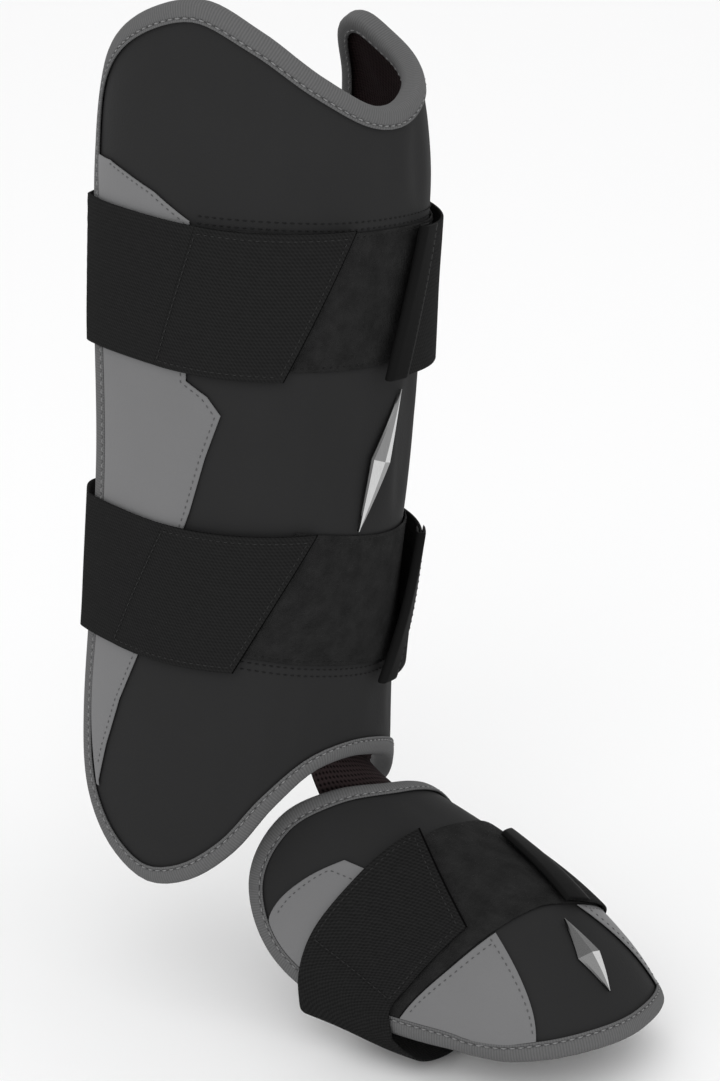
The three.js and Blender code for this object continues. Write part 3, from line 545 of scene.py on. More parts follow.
# Small cells of a knit: dark holes between paler yarns, in staggered rows
knit_mesh, given, result = start_group(
    "knit mesh", {"Cloth": None, "Cells per m": 700.0}, ["Height", "Hole", "Tone"])
scaled = place(knit_mesh, "ShaderNodeVectorMath", operation="SCALE")
knit_mesh.links.new(given.outputs["Cloth"], scaled.inputs[0])
knit_mesh.links.new(given.outputs["Cells per m"], scaled.inputs["Scale"])
parts = knit_mesh.nodes.new("ShaderNodeSeparateXYZ")
knit_mesh.links.new(scaled.outputs[0], parts.inputs[0])
turnwise = reckon(knit_mesh, "MULTIPLY", parts.outputs["X"], 2 * math.pi)
lengthwise = reckon(knit_mesh, "MULTIPLY", parts.outputs["Y"], 2 * math.pi * 0.6)
diagonal = reckon(knit_mesh, "SINE", reckon(knit_mesh, "ADD", turnwise, lengthwise))
counter = reckon(knit_mesh, "SINE", reckon(knit_mesh, "SUBTRACT", turnwise, lengthwise))
crossing = reckon(knit_mesh, "MULTIPLY", diagonal, counter)
yarns = reckon(knit_mesh, "ADD", reckon(knit_mesh, "MULTIPLY", crossing, 0.5), 0.5)
knit_mesh.links.new(yarns, result.inputs["Height"])
filled = reckon(knit_mesh, "MINIMUM", 1.0, reckon(knit_mesh, "MULTIPLY", yarns, 1.8))
knit_mesh.links.new(reckon(knit_mesh, "SUBTRACT", 1.0, filled), result.inputs["Hole"])
courses = place(knit_mesh, "ShaderNodeVectorMath", operation="MULTIPLY")
courses.inputs[1].default_value = (1.0, 0.16, 1.0)
knit_mesh.links.new(given.outputs["Cloth"], courses.inputs[0])
cloudy = place(knit_mesh, "ShaderNodeTexNoise", Scale=420.0, Detail=4.0, Roughness=0.65)
knit_mesh.links.new(courses.outputs[0], cloudy.inputs["Vector"])
knit_mesh.links.new(cloudy.outputs["Fac"], result.inputs["Tone"])


def knit(name, yarn, tinted, hole_colour, cells):
    material, tree, shader = new_material(name, 0.95, 0.08)
    cloth = place(tree, "ShaderNodeUVMap", uv_map="cloth")
    mesh_look = place(tree, "ShaderNodeGroup", node_tree=knit_mesh)
    mesh_look.inputs["Cells per m"].default_value = cells
    tree.links.new(cloth.outputs["UV"], mesh_look.inputs["Cloth"])
    yarns = between(tree, yarn, tinted, mesh_look.outputs["Tone"])
    tree.links.new(between(tree, yarns, hole_colour, mesh_look.outputs["Hole"]), shader.inputs["Base Color"])
    add_relief(tree, shader, mesh_look.outputs["Height"], 0.7, 0.0004)
    return material


lining_knit = knit("lining knit", (0.012, 0.009, 0.009), (0.02, 0.011, 0.012), (0.004, 0.002, 0.002), 420)


def laid_uv(outer):
    """Distances in mm down and across a grid of points, for each of its points on both sides."""
    down = np.linalg.norm(np.diff(outer, axis=0), axis=-1)
    across = np.linalg.norm(np.diff(outer, axis=1), axis=-1)
    rows, columns = outer.shape[:2]
    v = np.vstack([np.zeros(columns), np.cumsum(down, 0)])
    v = np.broadcast_to(v[:, columns // 2:columns // 2 + 1], (rows, columns))
    u = np.hstack([np.zeros((rows, 1)), np.cumsum(across, 1)])
    u = u - u[:, columns // 2:columns // 2 + 1]
    one = np.stack([v, u], -1).reshape(-1, 2)
    return np.vstack([one, one])


lining_top = -shin_deep - gap
folds = 0.22 * np.sin(shin_along / 3.1 + np.sin(shin_turn / 17)) * np.clip((from_edge - 8) / 12, 0, 1)
lining_outer = shin.over(shin_turn, shin_along, lining_top)
lining_inner = shin.over(shin_turn, shin_along, lining_top - lining_thickness - np.abs(folds))
points, faces = close_sheet(lining_outer, lining_inner)
make_piece("shin_lining_knit", points, faces, [lining_knit], "lining_mesh", ["shin_lining"],
           uv=laid_uv(lining_outer))


# Overlay on the inner side of the shin pad
# A panel of mid-grey synthetic leather with its edge turned under, sewn on with one row of stitches
# 2 mm inside the edge. Its rear end stops at the edge tape.

panel_width, panel_thickness, panel_bead = 55, 0.8, 0.9
stitch_inset, first_stitch = 2.2, 0.5

# height, front edge as a turn about the leg; the corners are sharp
side_panel_rows = [
    (0.095, -105), (0.15, -101), (0.21, -95), (0.28, -85), (0.37, -75), (0.45, -67), (0.515, -62),
    (0.565, -57), (0.585, -62), (0.6, -70), (0.69, -71), (0.775, -71), (0.8, -86), (0.815, -101),
    (0.822, -110),
]
grey_leather = leather("grey leather", (0.145, 0.145, 0.147), (0.175, 0.175, 0.178), 0.55, 0.25)

inner_edge = np.vstack([shin_edge_rows[29:], shin_edge_rows[:1]])[:, ::-1]
outer_edge = shin_edge_rows[11:17][:, ::-1]


def fine_cuts(length, cell, bead):
    """Shares that cut a length into cells, with fine ones at both ends for a rounded edge."""
    edge = bead * np.array([0, 0.07, 0.25, 0.55])
    count = max(2, int(round((length - 2 * bead) / cell)) + 1)
    return np.concatenate([edge, np.linspace(bead, length - bead, count), length - edge[::-1]]) / length


def lay(face, turn, along, low, thickness, bead, square=()):
    """Both sides of a sheet with rounded edges that lies over a face, from grids of places.
    Square names the edges, of "first", "last", "left" and "right", that are left as cut."""
    flat = face.over(turn, along, low)
    down = np.concatenate([np.zeros((1, flat.shape[1])),
                           np.cumsum(np.linalg.norm(np.diff(flat, axis=0), axis=-1), 0)])
    across = np.concatenate([np.zeros((flat.shape[0], 1)),
                             np.cumsum(np.linalg.norm(np.diff(flat, axis=1), axis=-1), 1)], 1)
    from_edges = {"left": across, "right": across[:, -1:] - across, "first": down, "last": down[-1] - down}
    near = np.min([far for edge, far in from_edges.items() if edge not in square], axis=0)
    full = np.sqrt(1 - (1 - np.clip(near / bead, 0.02, 1)) ** 2)
    middle = low + thickness / 2
    return (face.over(turn, along, middle + thickness / 2 * full),
            face.over(turn, along, middle - thickness / 2 * full))


def lay_piece(name, face, turn, along, low, thickness, bead, material, slot, node, square=(), cut=()):
    """A sheet that lies over a face, as a piece. Cut gives the material of its cut sides, a dark one that
    paints a shadow line along the edge, and which of its end rows shows it too."""
    outer, inner = lay(face, turn, along, low, thickness, bead, square)
    points, faces = close_sheet(outer, inner)
    rows, columns = outer.shape[0] - 1, outer.shape[1] - 1
    shows = np.zeros(len(faces))
    if cut:
        shows[2 * rows * columns:] = 1
        shows[:rows * columns].reshape(rows, columns)[cut[1]] = 1
    make_piece(name, points, faces, [material, *cut[:1]], slot, [node], uv=laid_uv(outer), shows=shows)


def thread(name, colour):
    """Twisted sewing thread: fine slanting ridges, with painted shade darkening the furrows between them."""
    material, tree, shader = new_material(name, 0.8, 0.2)
    where = place(tree, "ShaderNodeTexCoord").outputs["Object"]
    twist = place(tree, "ShaderNodeTexWave", Scale=900.0, Distortion=1.5, bands_direction="DIAGONAL")
    tree.links.new(where, twist.inputs["Vector"])
    # Painted shade: the furrows of the twist get 0.7 of the thread's colour.
    furrow_shade = tuple(0.7 * c for c in colour)
    tree.links.new(between(tree, furrow_shade, colour, twist.outputs["Fac"]), shader.inputs["Base Color"])
    add_relief(tree, shader, twist.outputs["Fac"], 0.4, 0.0001)
    return material


def sew(name, paths, material, slot, pitch=3.0, length=2.0, radius=0.26):
    """Rows of stitches, each a short bowed length of thread that dips in at both ends.
    A path is the points of the seam and the direction away from the cloth at each."""
    sides, rings = 6, 5
    lift, sink = 0.16, 0.3
    t = np.linspace(0, 1, rings)
    bow = np.sin(np.pi * t)
    corners, total = [], 0
    for points, normals in paths:
        run = length_along(points)
        starts = np.arange(first_stitch, run[-1] - length, pitch)
        at = starts[:, None] + t * length
        centre = np.stack([np.interp(at, run, c) for c in points.T], -1)
        up = unit(np.stack([np.interp(at, run, c) for c in normals.T], -1))
        ahead = unit(np.gradient(centre, axis=1))
        beside = unit(np.cross(ahead, up))
        centre = centre + up * (lift * bow - sink * (1 - bow))[:, None]
        angle = np.arange(sides) * 2 * np.pi / sides
        thick = radius * (0.4 + 0.6 * bow)[:, None, None]
        ring = np.cos(angle)[:, None] * beside[..., None, :] + np.sin(angle)[:, None] * up[..., None, :]
        corners.append((centre[..., None, :] + thick * ring).reshape(-1, 3))
        total += len(starts)
    k = np.arange(sides)
    wall = np.concatenate([
        np.stack([r * sides + k, r * sides + (k + 1) % sides, (r + 1) * sides + (k + 1) % sides,
                  (r + 1) * sides + k], -1) for r in range(rings - 1)
    ])
    last = (rings - 1) * sides
    caps = np.array([[0, 5, 4, 3], [0, 3, 2, 1], [last, last + 1, last + 2, last + 3],
                     [last, last + 3, last + 4, last + 5]])
    one = np.vstack([wall, caps])
    faces = (one + (np.arange(total) * sides * rings)[:, None, None]).reshape(-1, 4)
    make_piece(name, np.vstack(corners), faces, [material], slot)


def seam_over(face, turn, along, height):
    """The path of a seam at a height over a face."""
    turn, along = np.asarray(turn, float), np.asarray(along, float)
    return face.over(turn, along, height), face.normal(turn, along)


grey_thread = thread("grey thread", (0.11, 0.11, 0.111))
black_thread = thread("black thread", (0.016, 0.016, 0.016))

rear_tape = (tape_width + gap) / shin_spans[0]
panel_heights = np.unique(np.concatenate([
    np.linspace(side_panel_rows[0][0], side_panel_rows[-1][0], 130),
    [row[0] for row in side_panel_rows],
    side_panel_rows[0][0] + np.array([0.1, 0.35, 0.8]) / shin_length,
    side_panel_rows[-1][0] - np.array([0.1, 0.35, 0.8]) / shin_length,
]))
panel_front = np.interp(panel_heights, *np.asarray(side_panel_rows).T)
panel_rear = read_table(inner_edge, 1, panel_heights * shin_length) + rear_tape
panel_front = np.maximum(panel_front, panel_rear + 1)
panel_across = fine_cuts(panel_width, 2.4, panel_bead)
panel_turn = panel_rear[:, None] + (panel_front - panel_rear)[:, None] * panel_across
panel_along = np.broadcast_to((panel_heights * shin_length)[:, None], panel_turn.shape)
lay_piece("shin_side_panel_leather", shin, panel_turn, panel_along, lay_gap, panel_thickness, panel_bead,
          grey_leather, "grey_leather", "shin_side_panel", square=["left"])
stitch_turn = panel_front - stitch_inset / shin_spans[0]
wide_enough = stitch_turn > panel_rear + 2
sew("shin_side_panel_stitches",
    [seam_over(shin, stitch_turn[wide_enough], panel_heights[wide_enough] * shin_length - 0.6,
               lay_gap + panel_thickness)],
    grey_thread, "grey_leather")


# Edge tape of the shin pad
# Grey ribbed binding tape, folded over the raw edge of leather, foam and lining all the way round,
# and sewn through all of them with one row of long stitches close to its inner edge.

# Cross ribs of a woven tape, with a little fray between them. Its tone is darker between the ribs,
# painted shade, with the random fray mixed in.
ribbed, given, result = start_group(
    "cross ribs", {"Cloth": None, "Ribs per m": 900.0}, ["Height", "Tone"])
parts = ribbed.nodes.new("ShaderNodeSeparateXYZ")
ribbed.links.new(given.outputs["Cloth"], parts.inputs[0])
fray = place(ribbed, "ShaderNodeTexNoise", Scale=700.0, Detail=3.0)
ribbed.links.new(given.outputs["Cloth"], fray.inputs["Vector"])
runs = reckon(ribbed, "MULTIPLY", parts.outputs["X"], given.outputs["Ribs per m"])
runs = reckon(ribbed, "ADD", runs, reckon(ribbed, "MULTIPLY", fray.outputs["Fac"], 0.35))
ribs = reckon(ribbed, "SINE", reckon(ribbed, "MULTIPLY", runs, 2 * math.pi))
ribs = reckon(ribbed, "ADD", reckon(ribbed, "MULTIPLY", ribs, 0.5), 0.5)
ribbed.links.new(ribs, result.inputs["Height"])
# Tone: painted shade in the hollows between the ribs, plus random fray.
ribbed.links.new(reckon(ribbed, "ADD", reckon(ribbed, "MULTIPLY", ribs, 0.6),
                        reckon(ribbed, "MULTIPLY", fray.outputs["Fac"], 0.4)), result.inputs["Tone"])


def woven(name, group, dark, light, specular, strength, depth, **settings):
    """A woven or pile material: its group gives the relief and how light each spot is."""
    material, tree, shader = new_material(name, 0.9, specular)
    cloth = place(tree, "ShaderNodeUVMap", uv_map="cloth")
    look = place(tree, "ShaderNodeGroup", node_tree=group)
    for label, value in settings.items():
        look.inputs[label.replace("_", " ")].default_value = value
    tree.links.new(cloth.outputs["UV"], look.inputs["Cloth"])
    tree.links.new(between(tree, dark, light, look.outputs["Tone"]), shader.inputs["Base Color"])
    add_relief(tree, shader, look.outputs["Height"], strength, depth)
    return material


grey_tape = woven("grey binding tape", ribbed, (0.088, 0.088, 0.089), (0.135, 0.135, 0.136), 0.12,
                  0.32, 0.0003, Ribs_per_m=830.0)
# A darker copy of the tape: painted shade for the groove the stitches sink into.
groove_shade_tape = woven("grey binding tape, painted groove shade", ribbed, (0.05, 0.05, 0.051), (0.085, 0.085, 0.086),
                  0.06, 0.32, 0.0003, Ribs_per_m=830.0)


def edge_tape(name, face, ring, depth, node):
    """Tape folded over the edge of a pad, swept round it: a flat leg on each side and a round fold."""
    high = lay_gap + tape_thickness
    fold, proud = 3.0, 2.0
    start = fold - proud
    # distance in from the pad's edge, rise over the flat of the outer leg; the stitches lie at 5.0
    crown = [(6.5, -0.5), (6.42, -0.2), (6.2, -0.05), (5.7, 0.0), (5.35, -0.26), (5.0, -0.46), (4.65, -0.26),
             (4.2, 0.04), (3.2, 0.16), (2.1, 0.14)]
    corner = np.radians([90, 72, 54, 36, 18, 0])
    wall = np.radians([90, 45, 0])
    profile = [(x, high + rise) for x, rise in crown]
    profile += [(start - fold * math.cos(a), high - fold + fold * math.sin(a)) for a in corner]
    profile += [(start - fold * math.cos(a), fold - high - depth - fold * math.sin(a)) for a in corner[::-1]]
    profile += [(2.3, -high - depth - 0.08), (3.4, 0.16 - high - depth), (4.3, -high - depth + 0.05),
                (4.6, 0.5 - high - depth), (4.3, -lay_gap - depth), (3.0, -lay_gap - depth)]
    thin = fold - tape_thickness
    profile += [(start - thin * math.cos(a), thin - lay_gap - depth - thin * math.sin(a)) for a in wall]
    profile += [(start - thin * math.cos(a), lay_gap - thin + thin * math.sin(a)) for a in wall[::-1]]
    profile += [(3.5, lay_gap), (6.2, lay_gap)]
    run = length_along(np.vstack([face.point(*ring.T), face.point(*ring[:1].T)]))
    step, stitch_step, stitch_length, dimple_depth = 1.15, 3.6, 2.6, 0.32
    count = int(run[-1] / step)
    at = np.arange(count) * run[-1] / count
    looped = np.vstack([ring, ring[:1]])
    turn, along = (np.interp(at, run, looped[:, k]) for k in (0, 1))
    points = face.point(turn, along)
    ahead = unit(np.roll(points, -1, 0) - np.roll(points, 1, 0))
    inward = unit(np.cross(ahead, face.normal(turn, along)))
    pitch = run[-1] / round(run[-1] / stitch_step)
    dimple = -dimple_depth * np.cos(2 * np.pi * (at - first_stitch - stitch_length / 2) / pitch)
    rows, around = [], []
    for k, (across, over) in enumerate(profile):
        lifted = over - {4: 0.6, 5: 1.0, 6: 0.6}.get(k, 0.0) * dimple
        if across > 0:
            rows.append(face.over(*face.slide(turn, along, inward, across), lifted))
        else:
            rows.append(face.over(turn, along, over) + inward * across)
        around.append(0 if k == 0 else around[-1] + math.dist(profile[k], profile[k - 1]))
    grid = np.stack(rows, 1)
    sides = len(profile)
    i, k = np.meshgrid(np.arange(count), np.arange(sides), indexing="ij")
    i2, k2 = (i + 1) % count, (k + 1) % sides
    faces = np.stack([i * sides + k, i2 * sides + k, i2 * sides + k2, i * sides + k2], -1).reshape(-1, 4)
    uv = np.stack([np.broadcast_to(at[:, None], (count, sides)),
                   np.broadcast_to(np.array(around), (count, sides))], -1).reshape(-1, 2)
    # Faces 4 and 5 of the profile, the stitch groove, show the darker copy as painted shade.
    make_piece(name, grid.reshape(-1, 3), faces, [grey_tape, groove_shade_tape], "grey_tape", [node], uv=uv,
               shows=np.isin(k, (4, 5)))
    front, back = face.slide(turn, along, inward, 5.0), face.slide(turn, along, inward, 3.4)
    seam = (face.over(*front, high - 0.22), face.normal(*front))
    inside = (face.over(*back, -high - depth + 0.1), -face.normal(*back))
    sew(name + "_stitches", [seam, inside], tape_thread, "grey_tape", pitch=pitch, length=stitch_length,
        radius=0.36)


tape_thread = thread("tape thread", (0.24, 0.24, 0.242))
edge_tape("shin_binding_tape", shin, ring_of(shin_sides), pad_edge + lay_gap + lining_thickness,
          "shin_binding")


# Stitching through the shin shell
# Two double rows of black stitches across the front, one above the upper loop field and one below
# the lower one, that hold the leather down to the foam.

rows = []
for field, settings, across in ((upper_field, upper_rows, 1), (lower_field, lower_rows, 0)):
    for start, end, away in settings:
        turn = np.linspace(start, end, 220)
        rows.append(seam_over(shin, turn, field(turn, across) + away, 0.12))
sew("shin_shell_stitches", rows, black_thread, "black_leather", pitch=3.1)


# Loop fields on the shin
# Brushed loop pile that the strap tabs hold to, cut as two bands across the front and sewn on along
# the upper and lower edge.

loop_thickness, loop_bead, loop_cell = 0.8, 0.8, 1.6

# Tangled loops of a brushed pile, with patches where the nap lies over
napped, given, result = start_group(
    "loop pile", {"Cloth": None, "Loops per m": 1100.0}, ["Height", "Tone"])
loops = place(napped, "ShaderNodeTexVoronoi", feature="F1")
napped.links.new(given.outputs["Cloth"], loops.inputs["Vector"])
napped.links.new(given.outputs["Loops per m"], loops.inputs["Scale"])
tangle = place(napped, "ShaderNodeTexNoise", Scale=1500.0, Detail=2.0)
napped.links.new(given.outputs["Cloth"], tangle.inputs["Vector"])
patches = place(napped, "ShaderNodeTexNoise", Scale=110.0, Detail=5.0, Roughness=0.65)
napped.links.new(given.outputs["Cloth"], patches.inputs["Vector"])
raised = reckon(napped, "SUBTRACT", 1.0, loops.outputs["Distance"])
napped.links.new(reckon(napped, "ADD", raised, tangle.outputs["Fac"]), result.inputs["Height"])
lying = reckon(napped, "SUBTRACT", reckon(napped, "MULTIPLY", patches.outputs["Fac"], 1.9), 0.6)
napped.links.new(reckon(napped, "ADD", lying, reckon(napped, "MULTIPLY", tangle.outputs["Fac"], 0.3)),
                 result.inputs["Tone"])
loop_pile = woven("loop pile cloth", napped, (0.0115, 0.0115, 0.0115), (0.0245, 0.0245, 0.0245), 0.06,
                  0.8, 0.0005)


def lay_loop_field(name, field, width, start):
    """A loop field with a slanting end: start gives its turn at the low and the high edge."""
    down = fine_cuts(shin_spans[0] * (loop_lateral - loop_medial), loop_cell, loop_bead)
    across = fine_cuts(width, loop_cell, loop_bead)
    first = start[0] + (start[1] - start[0]) * across
    turn = first + (loop_lateral - first) * down[:, None]
    along = field(turn, across[None, :])
    fluff = 0.07 * (np.sin(turn * 5.1 + along * 1.7) * np.sin(along * 2.3 - turn * 3.9))
    lay_piece(f"{name}_loop_pile", shin, turn, along, lay_gap + fluff, loop_thickness, loop_bead,
              loop_pile, "loop_pile", f"{name}_loop_field")
    seams = []
    for edge, share in zip(start, (1.8 / width, 1 - 1.8 / width)):
        edge_turn = np.linspace(edge + 2, loop_lateral - 2, 160)
        seams.append(seam_over(shin, edge_turn, field(edge_turn, share), lay_gap + loop_thickness))
    sew(f"{name}_loop_field_stitches", seams, black_thread, "loop_pile", pitch=3.1, radius=0.24)


lay_loop_field("upper", upper_field, upper_loop_width, (loop_medial, loop_medial))
lay_loop_field("lower", lower_field, lower_loop_width, (-55, -30))


# Straps, tabs and pull strips of the shin
# Wide woven elastic bands go round the calf from a free end on the outer side to a hook tab pressed
# on the loop field. Each tab is sewn on with a slanting seam and round its edge; each free end is
# closed with a folded strip of smooth tape to pull it by.

strap_length, strap_thickness = 400, 1.3
tab_length, tab_thickness, tab_seam_gap = 65, 1.7, 0.12
upper_stand_off, lower_stand_off = 3.1, 3.9
upper_tilt, lower_tilt = -0.2, 0.35
pull_strip_width, pull_strip_thickness = 8.5, 1.2
strip_front = [(back, 90) for back in np.linspace(pull_strip_width, 0.8, 6)]
over_tape = tape_thickness + 2 * lay_gap
fold_turn = 2.8
# turn of each slanting end, at its low and its high edge
upper_ends = {"start": (-1, 15), "seam": (278, 292), "end": (323, 345)}
lower_ends = {"start": (8, 31), "seam": (262, 284), "end": (311, 337)}
# turn, lift as a share of the strap's own stand-off
strap_lift = [(-10, 1.3), (15, 1.2), (40, 1), (65, 0.9), (90, 0.2), (105, 0), (120, 0), (360, 0)]
# share of the way from the outer to the inner rear edge, inset as a share of the shell's depth
strap_inset = [
    (0, 0), (0.05, 0.009), (0.1, 0.024), (0.2, 0.038), (0.34, 0.047), (0.54, 0.043), (0.77, 0.05),
    (0.88, 0.039), (0.93, 0.028), (0.97, 0.014), (1, 0),
]

# Diagonal ribs of a twill crossed by fine weft threads. Its tone is darker in the weave's hollows,
# painted shade, with the random fray mixed in.
twill, given, result = start_group(
    "twill weave", {"Cloth": None, "Ribs per m": 800.0, "Slant": 1.0, "Waver": 1.0}, ["Height", "Tone"])
parts = twill.nodes.new("ShaderNodeSeparateXYZ")
twill.links.new(given.outputs["Cloth"], parts.inputs[0])
slanting = reckon(twill, "ADD", parts.outputs["X"], reckon(twill, "MULTIPLY", parts.outputs["Y"],
                                                         given.outputs["Slant"]))
turns = reckon(twill, "MULTIPLY", given.outputs["Ribs per m"], 2 * math.pi)
fray = place(twill, "ShaderNodeTexNoise", Scale=260.0, Detail=5.0, Roughness=0.7)
twill.links.new(given.outputs["Cloth"], fray.inputs["Vector"])
wavering = reckon(twill, "MULTIPLY", fray.outputs["Fac"], given.outputs["Waver"])
ribs = reckon(twill, "SINE", reckon(twill, "ADD", reckon(twill, "MULTIPLY", slanting, turns), wavering))
weft = reckon(twill, "SINE", reckon(twill, "MULTIPLY", parts.outputs["Y"], turns))
weave = reckon(twill, "ADD", reckon(twill, "MULTIPLY", ribs, 0.3), reckon(twill, "MULTIPLY", weft, 0.2))
weave = reckon(twill, "ADD", weave, 0.5)
twill.links.new(weave, result.inputs["Height"])
# Tone: painted shade in the hollows of the weave, plus random fray.
twill.links.new(reckon(twill, "ADD", reckon(twill, "MULTIPLY", weave, 0.6),
                       reckon(twill, "MULTIPLY", fray.outputs["Fac"], 0.4)), result.inputs["Tone"])
strap_twill = woven("strap twill", twill, (0.0085, 0.0085, 0.0085), (0.0215, 0.0215, 0.0215), 0.02, 0.6,
                    0.0004, Ribs_per_m=600.0, Slant=1.1)
# A near-black copy of the twill: painted shadow along the sides and the free end of a tab.
tab_edge_shadow_cloth = woven("tab edge, painted shadow", twill, (0.001, 0.001, 0.001), (0.004, 0.004, 0.004), 0.02, 0.5, 0.0003,
                  Ribs_per_m=600.0)
smooth_tape = leather("smooth pull tape", (0.007, 0.007, 0.007), (0.01, 0.01, 0.01), 0.55, 0.02)
strap_thread = thread("strap thread", (0.034, 0.034, 0.034))


def band_places(start, end, along_at, down, across):
    """A grid of places of a band between two slanting ends, given at its low and its high edge."""
    first = start[0] + (start[1] - start[0]) * across
    last = end[0] + (end[1] - end[0]) * across
    turn = first + (last - first) * down[:, None]
    return turn, along_at(turn, np.broadcast_to(across, turn.shape))


def shin_stand_off(band, stand_off, tilt):
    """Distance of a strap's inner side from the shell's face."""
    def height(turn, along):
        outer = read_table(outer_edge, 1, along) + fold_turn
        inner = read_table(inner_edge, 1, along) - fold_turn + 360
        share = (turn - outer) / (inner - outer)
        inset = np.where((share > 0) & (share < 1), read_table(strap_inset, 1, np.clip(share, 0, 1)), 0)
        across = 2 * (along - band(turn, 0.5)) / strap_width
        lift = read_table(strap_lift, 1, turn) * (1 + tilt * across)
        return over_tape + stand_off * lift - shin_depth * inset
    return height


def fold_strip(name, face, spans, start, across, path, along_at, inner_at):
    """A strip of smooth tape folded round the free end of a strap. Its path goes from the front of
    the strap round its end: each step back from the end in mm, and its angle about the fold."""
    round_middle = strap_thickness / 2 + gap + pull_strip_thickness / 2
    near = np.minimum(np.arange(len(across)), np.arange(len(across))[::-1])
    full = np.sqrt(1 - (1 - np.clip(near / 4, 0.03, 1)) ** 2)
    sheets = []
    for side in (1, -1):
        lanes = []
        for k, (back, angle) in enumerate(path):
            turn = start + back / spans[0]
            along = along_at(turn, across)
            ends_full = min(1, (min(k, len(path) - 1 - k) + 0.35) / 1.3)
            reach = round_middle + side * pull_strip_thickness / 2 * full * ends_full
            middle = face.over(turn, along, inner_at(turn, along) + strap_thickness / 2)
            ahead = -unit(face.directions(turn, along)[0])
            up = face.normal(turn, along)
            lanes.append(middle + reach[:, None] * (
                math.cos(math.radians(angle)) * ahead + math.sin(math.radians(angle)) * up))
        sheets.append(np.stack(lanes))
    points, faces = close_sheet(*sheets)
    make_piece(name + "_tape", points, faces, [smooth_tape], "smooth_tape", [name], uv=laid_uv(sheets[0]))


def tab_seams(face, ends, along_at, height, width, spans):
    """The stitching of a tab: along both edges, along its end and beside its slanting seam."""
    inset = 2.7
    share = inset / width
    across = np.linspace(share, 1 - share, 80)
    down = np.linspace(0, 1, 140)
    seam, end = np.asarray(ends["seam"], float), np.asarray(ends["end"], float)
    forward = np.sign(end[0] - seam[0])
    shift = forward * inset / spans[0]
    paths = []
    for edge in (share, 1 - share):
        first = seam[0] + (seam[1] - seam[0]) * edge + shift * 0.4
        last = end[0] + (end[1] - end[0]) * edge - shift
        turn = first + (last - first) * down
        paths.append((turn, along_at(turn, np.full_like(turn, edge))))
    for low, high, move in ((*seam, 0.4 * shift), (*end, -shift)):
        turn = low + (high - low) * across + move
        paths.append((turn, along_at(turn, across)))
    return [seam_over(face, turn, along, height) for turn, along in paths]


def lay_tab(name, face, spans, first, last, seam_row, ends, along_at, down, across, width, cloth):
    """A hook tab between two slanting ends, thinner where it meets the strap at its seam."""
    turn, along = band_places(first, last, along_at, down, across)
    from_seam = np.abs(turn - turn[[seam_row]]) * spans[0]
    thickness = tab_thickness - (tab_thickness - strap_thickness) * np.clip(1 - from_seam / 5, 0, 1)
    # The tab's sides and its four rows at the free end show the near-black cloth as a painted shadow line.
    seam_edge, free_rows = {0: ("first", slice(-4, None)), -1: ("last", slice(0, 4))}[seam_row]
    lay_piece(f"{name}_strap_tab_cloth", face, turn, along, over_tape, thickness, 0.55, cloth, "elastic",
              f"{name}_strap_tab", square=[seam_edge], cut=(tab_edge_shadow_cloth, free_rows))
    sew(f"{name}_strap_tab_stitches",
        tab_seams(face, ends, along_at, over_tape + tab_thickness, width, spans),
        strap_thread, "elastic", radius=0.25)


def make_shin_strap(name, line, height, stand_off, tilt, ends):
    """A strap from its free end round the calf, its tab, and the strip that closes the free end."""
    along_at = shin_band(line, height, strap_width)
    inner_at = shin_stand_off(along_at, stand_off, tilt)
    across = fine_cuts(strap_width, 2.4, 0.9)
    strap_end = np.asarray(ends["seam"]) - tab_seam_gap / shin_spans[0]
    down = fine_cuts(strap_length, 2.2, 0.9)
    turn, along = band_places(ends["start"], strap_end, along_at, down, across)
    slack = 0.16 * np.sin(turn / 9.0 + 2.1 * across) * np.clip((turn - 100) / 20, 0, 1) * np.clip(
        (240 - turn) / 20, 0, 1)
    lay_piece(f"{name}_strap_band", shin, turn, along, inner_at(turn, along) + slack, strap_thickness, 0.6,
              strap_twill, "elastic", f"{name}_strap", square=["last"])
    lay_tab(name, shin, shin_spans, ends["seam"], ends["end"], 0, ends, along_at,
            fine_cuts(tab_length, 2.2, 0.8), across, strap_width, strap_twill)
    overhang = 0.006
    across = (1 + 2 * overhang) * fine_cuts(strap_width * (1 + 2 * overhang), 2.2, 1.4) - overhang
    start = ends["start"][0] + (ends["start"][1] - ends["start"][0]) * across
    path = strip_front + [(0, angle) for angle in (90, 65, 35, 0, -35, -65, -90)]
    path += [(back, -90) for back in np.linspace(0.8, pull_strip_width - 2, 5)]
    fold_strip(f"{name}_pull_strip", shin, shin_spans, start, across, path, along_at, inner_at)
    sewn, from_front = slice(3, -3), 1.6
    turn = start[sewn] + (pull_strip_width - from_front) / shin_spans[0]
    along = along_at(turn, across[sewn])
    top = inner_at(turn, along) + strap_thickness + gap + pull_strip_thickness
    sew(f"{name}_pull_strip_tape_stitches", [seam_over(shin, turn, along, top - 0.1)], black_thread,
        "smooth_tape", pitch=2.9, length=1.9, radius=0.22)


make_shin_strap("upper", upper_line, upper_strap_height, upper_stand_off, upper_tilt, upper_ends)
make_shin_strap("lower", lower_line, lower_strap_height, lower_stand_off, lower_tilt, lower_ends)


# Ornament on the shin
# A plain long lozenge of brushed metal with a ridge down its middle, pressed on the leather
# between the straps. Its facets are given painted light and painted shade: bright, half-shaded and dark.

badge_length, badge_width, badge_height = 57, 13, 2.6


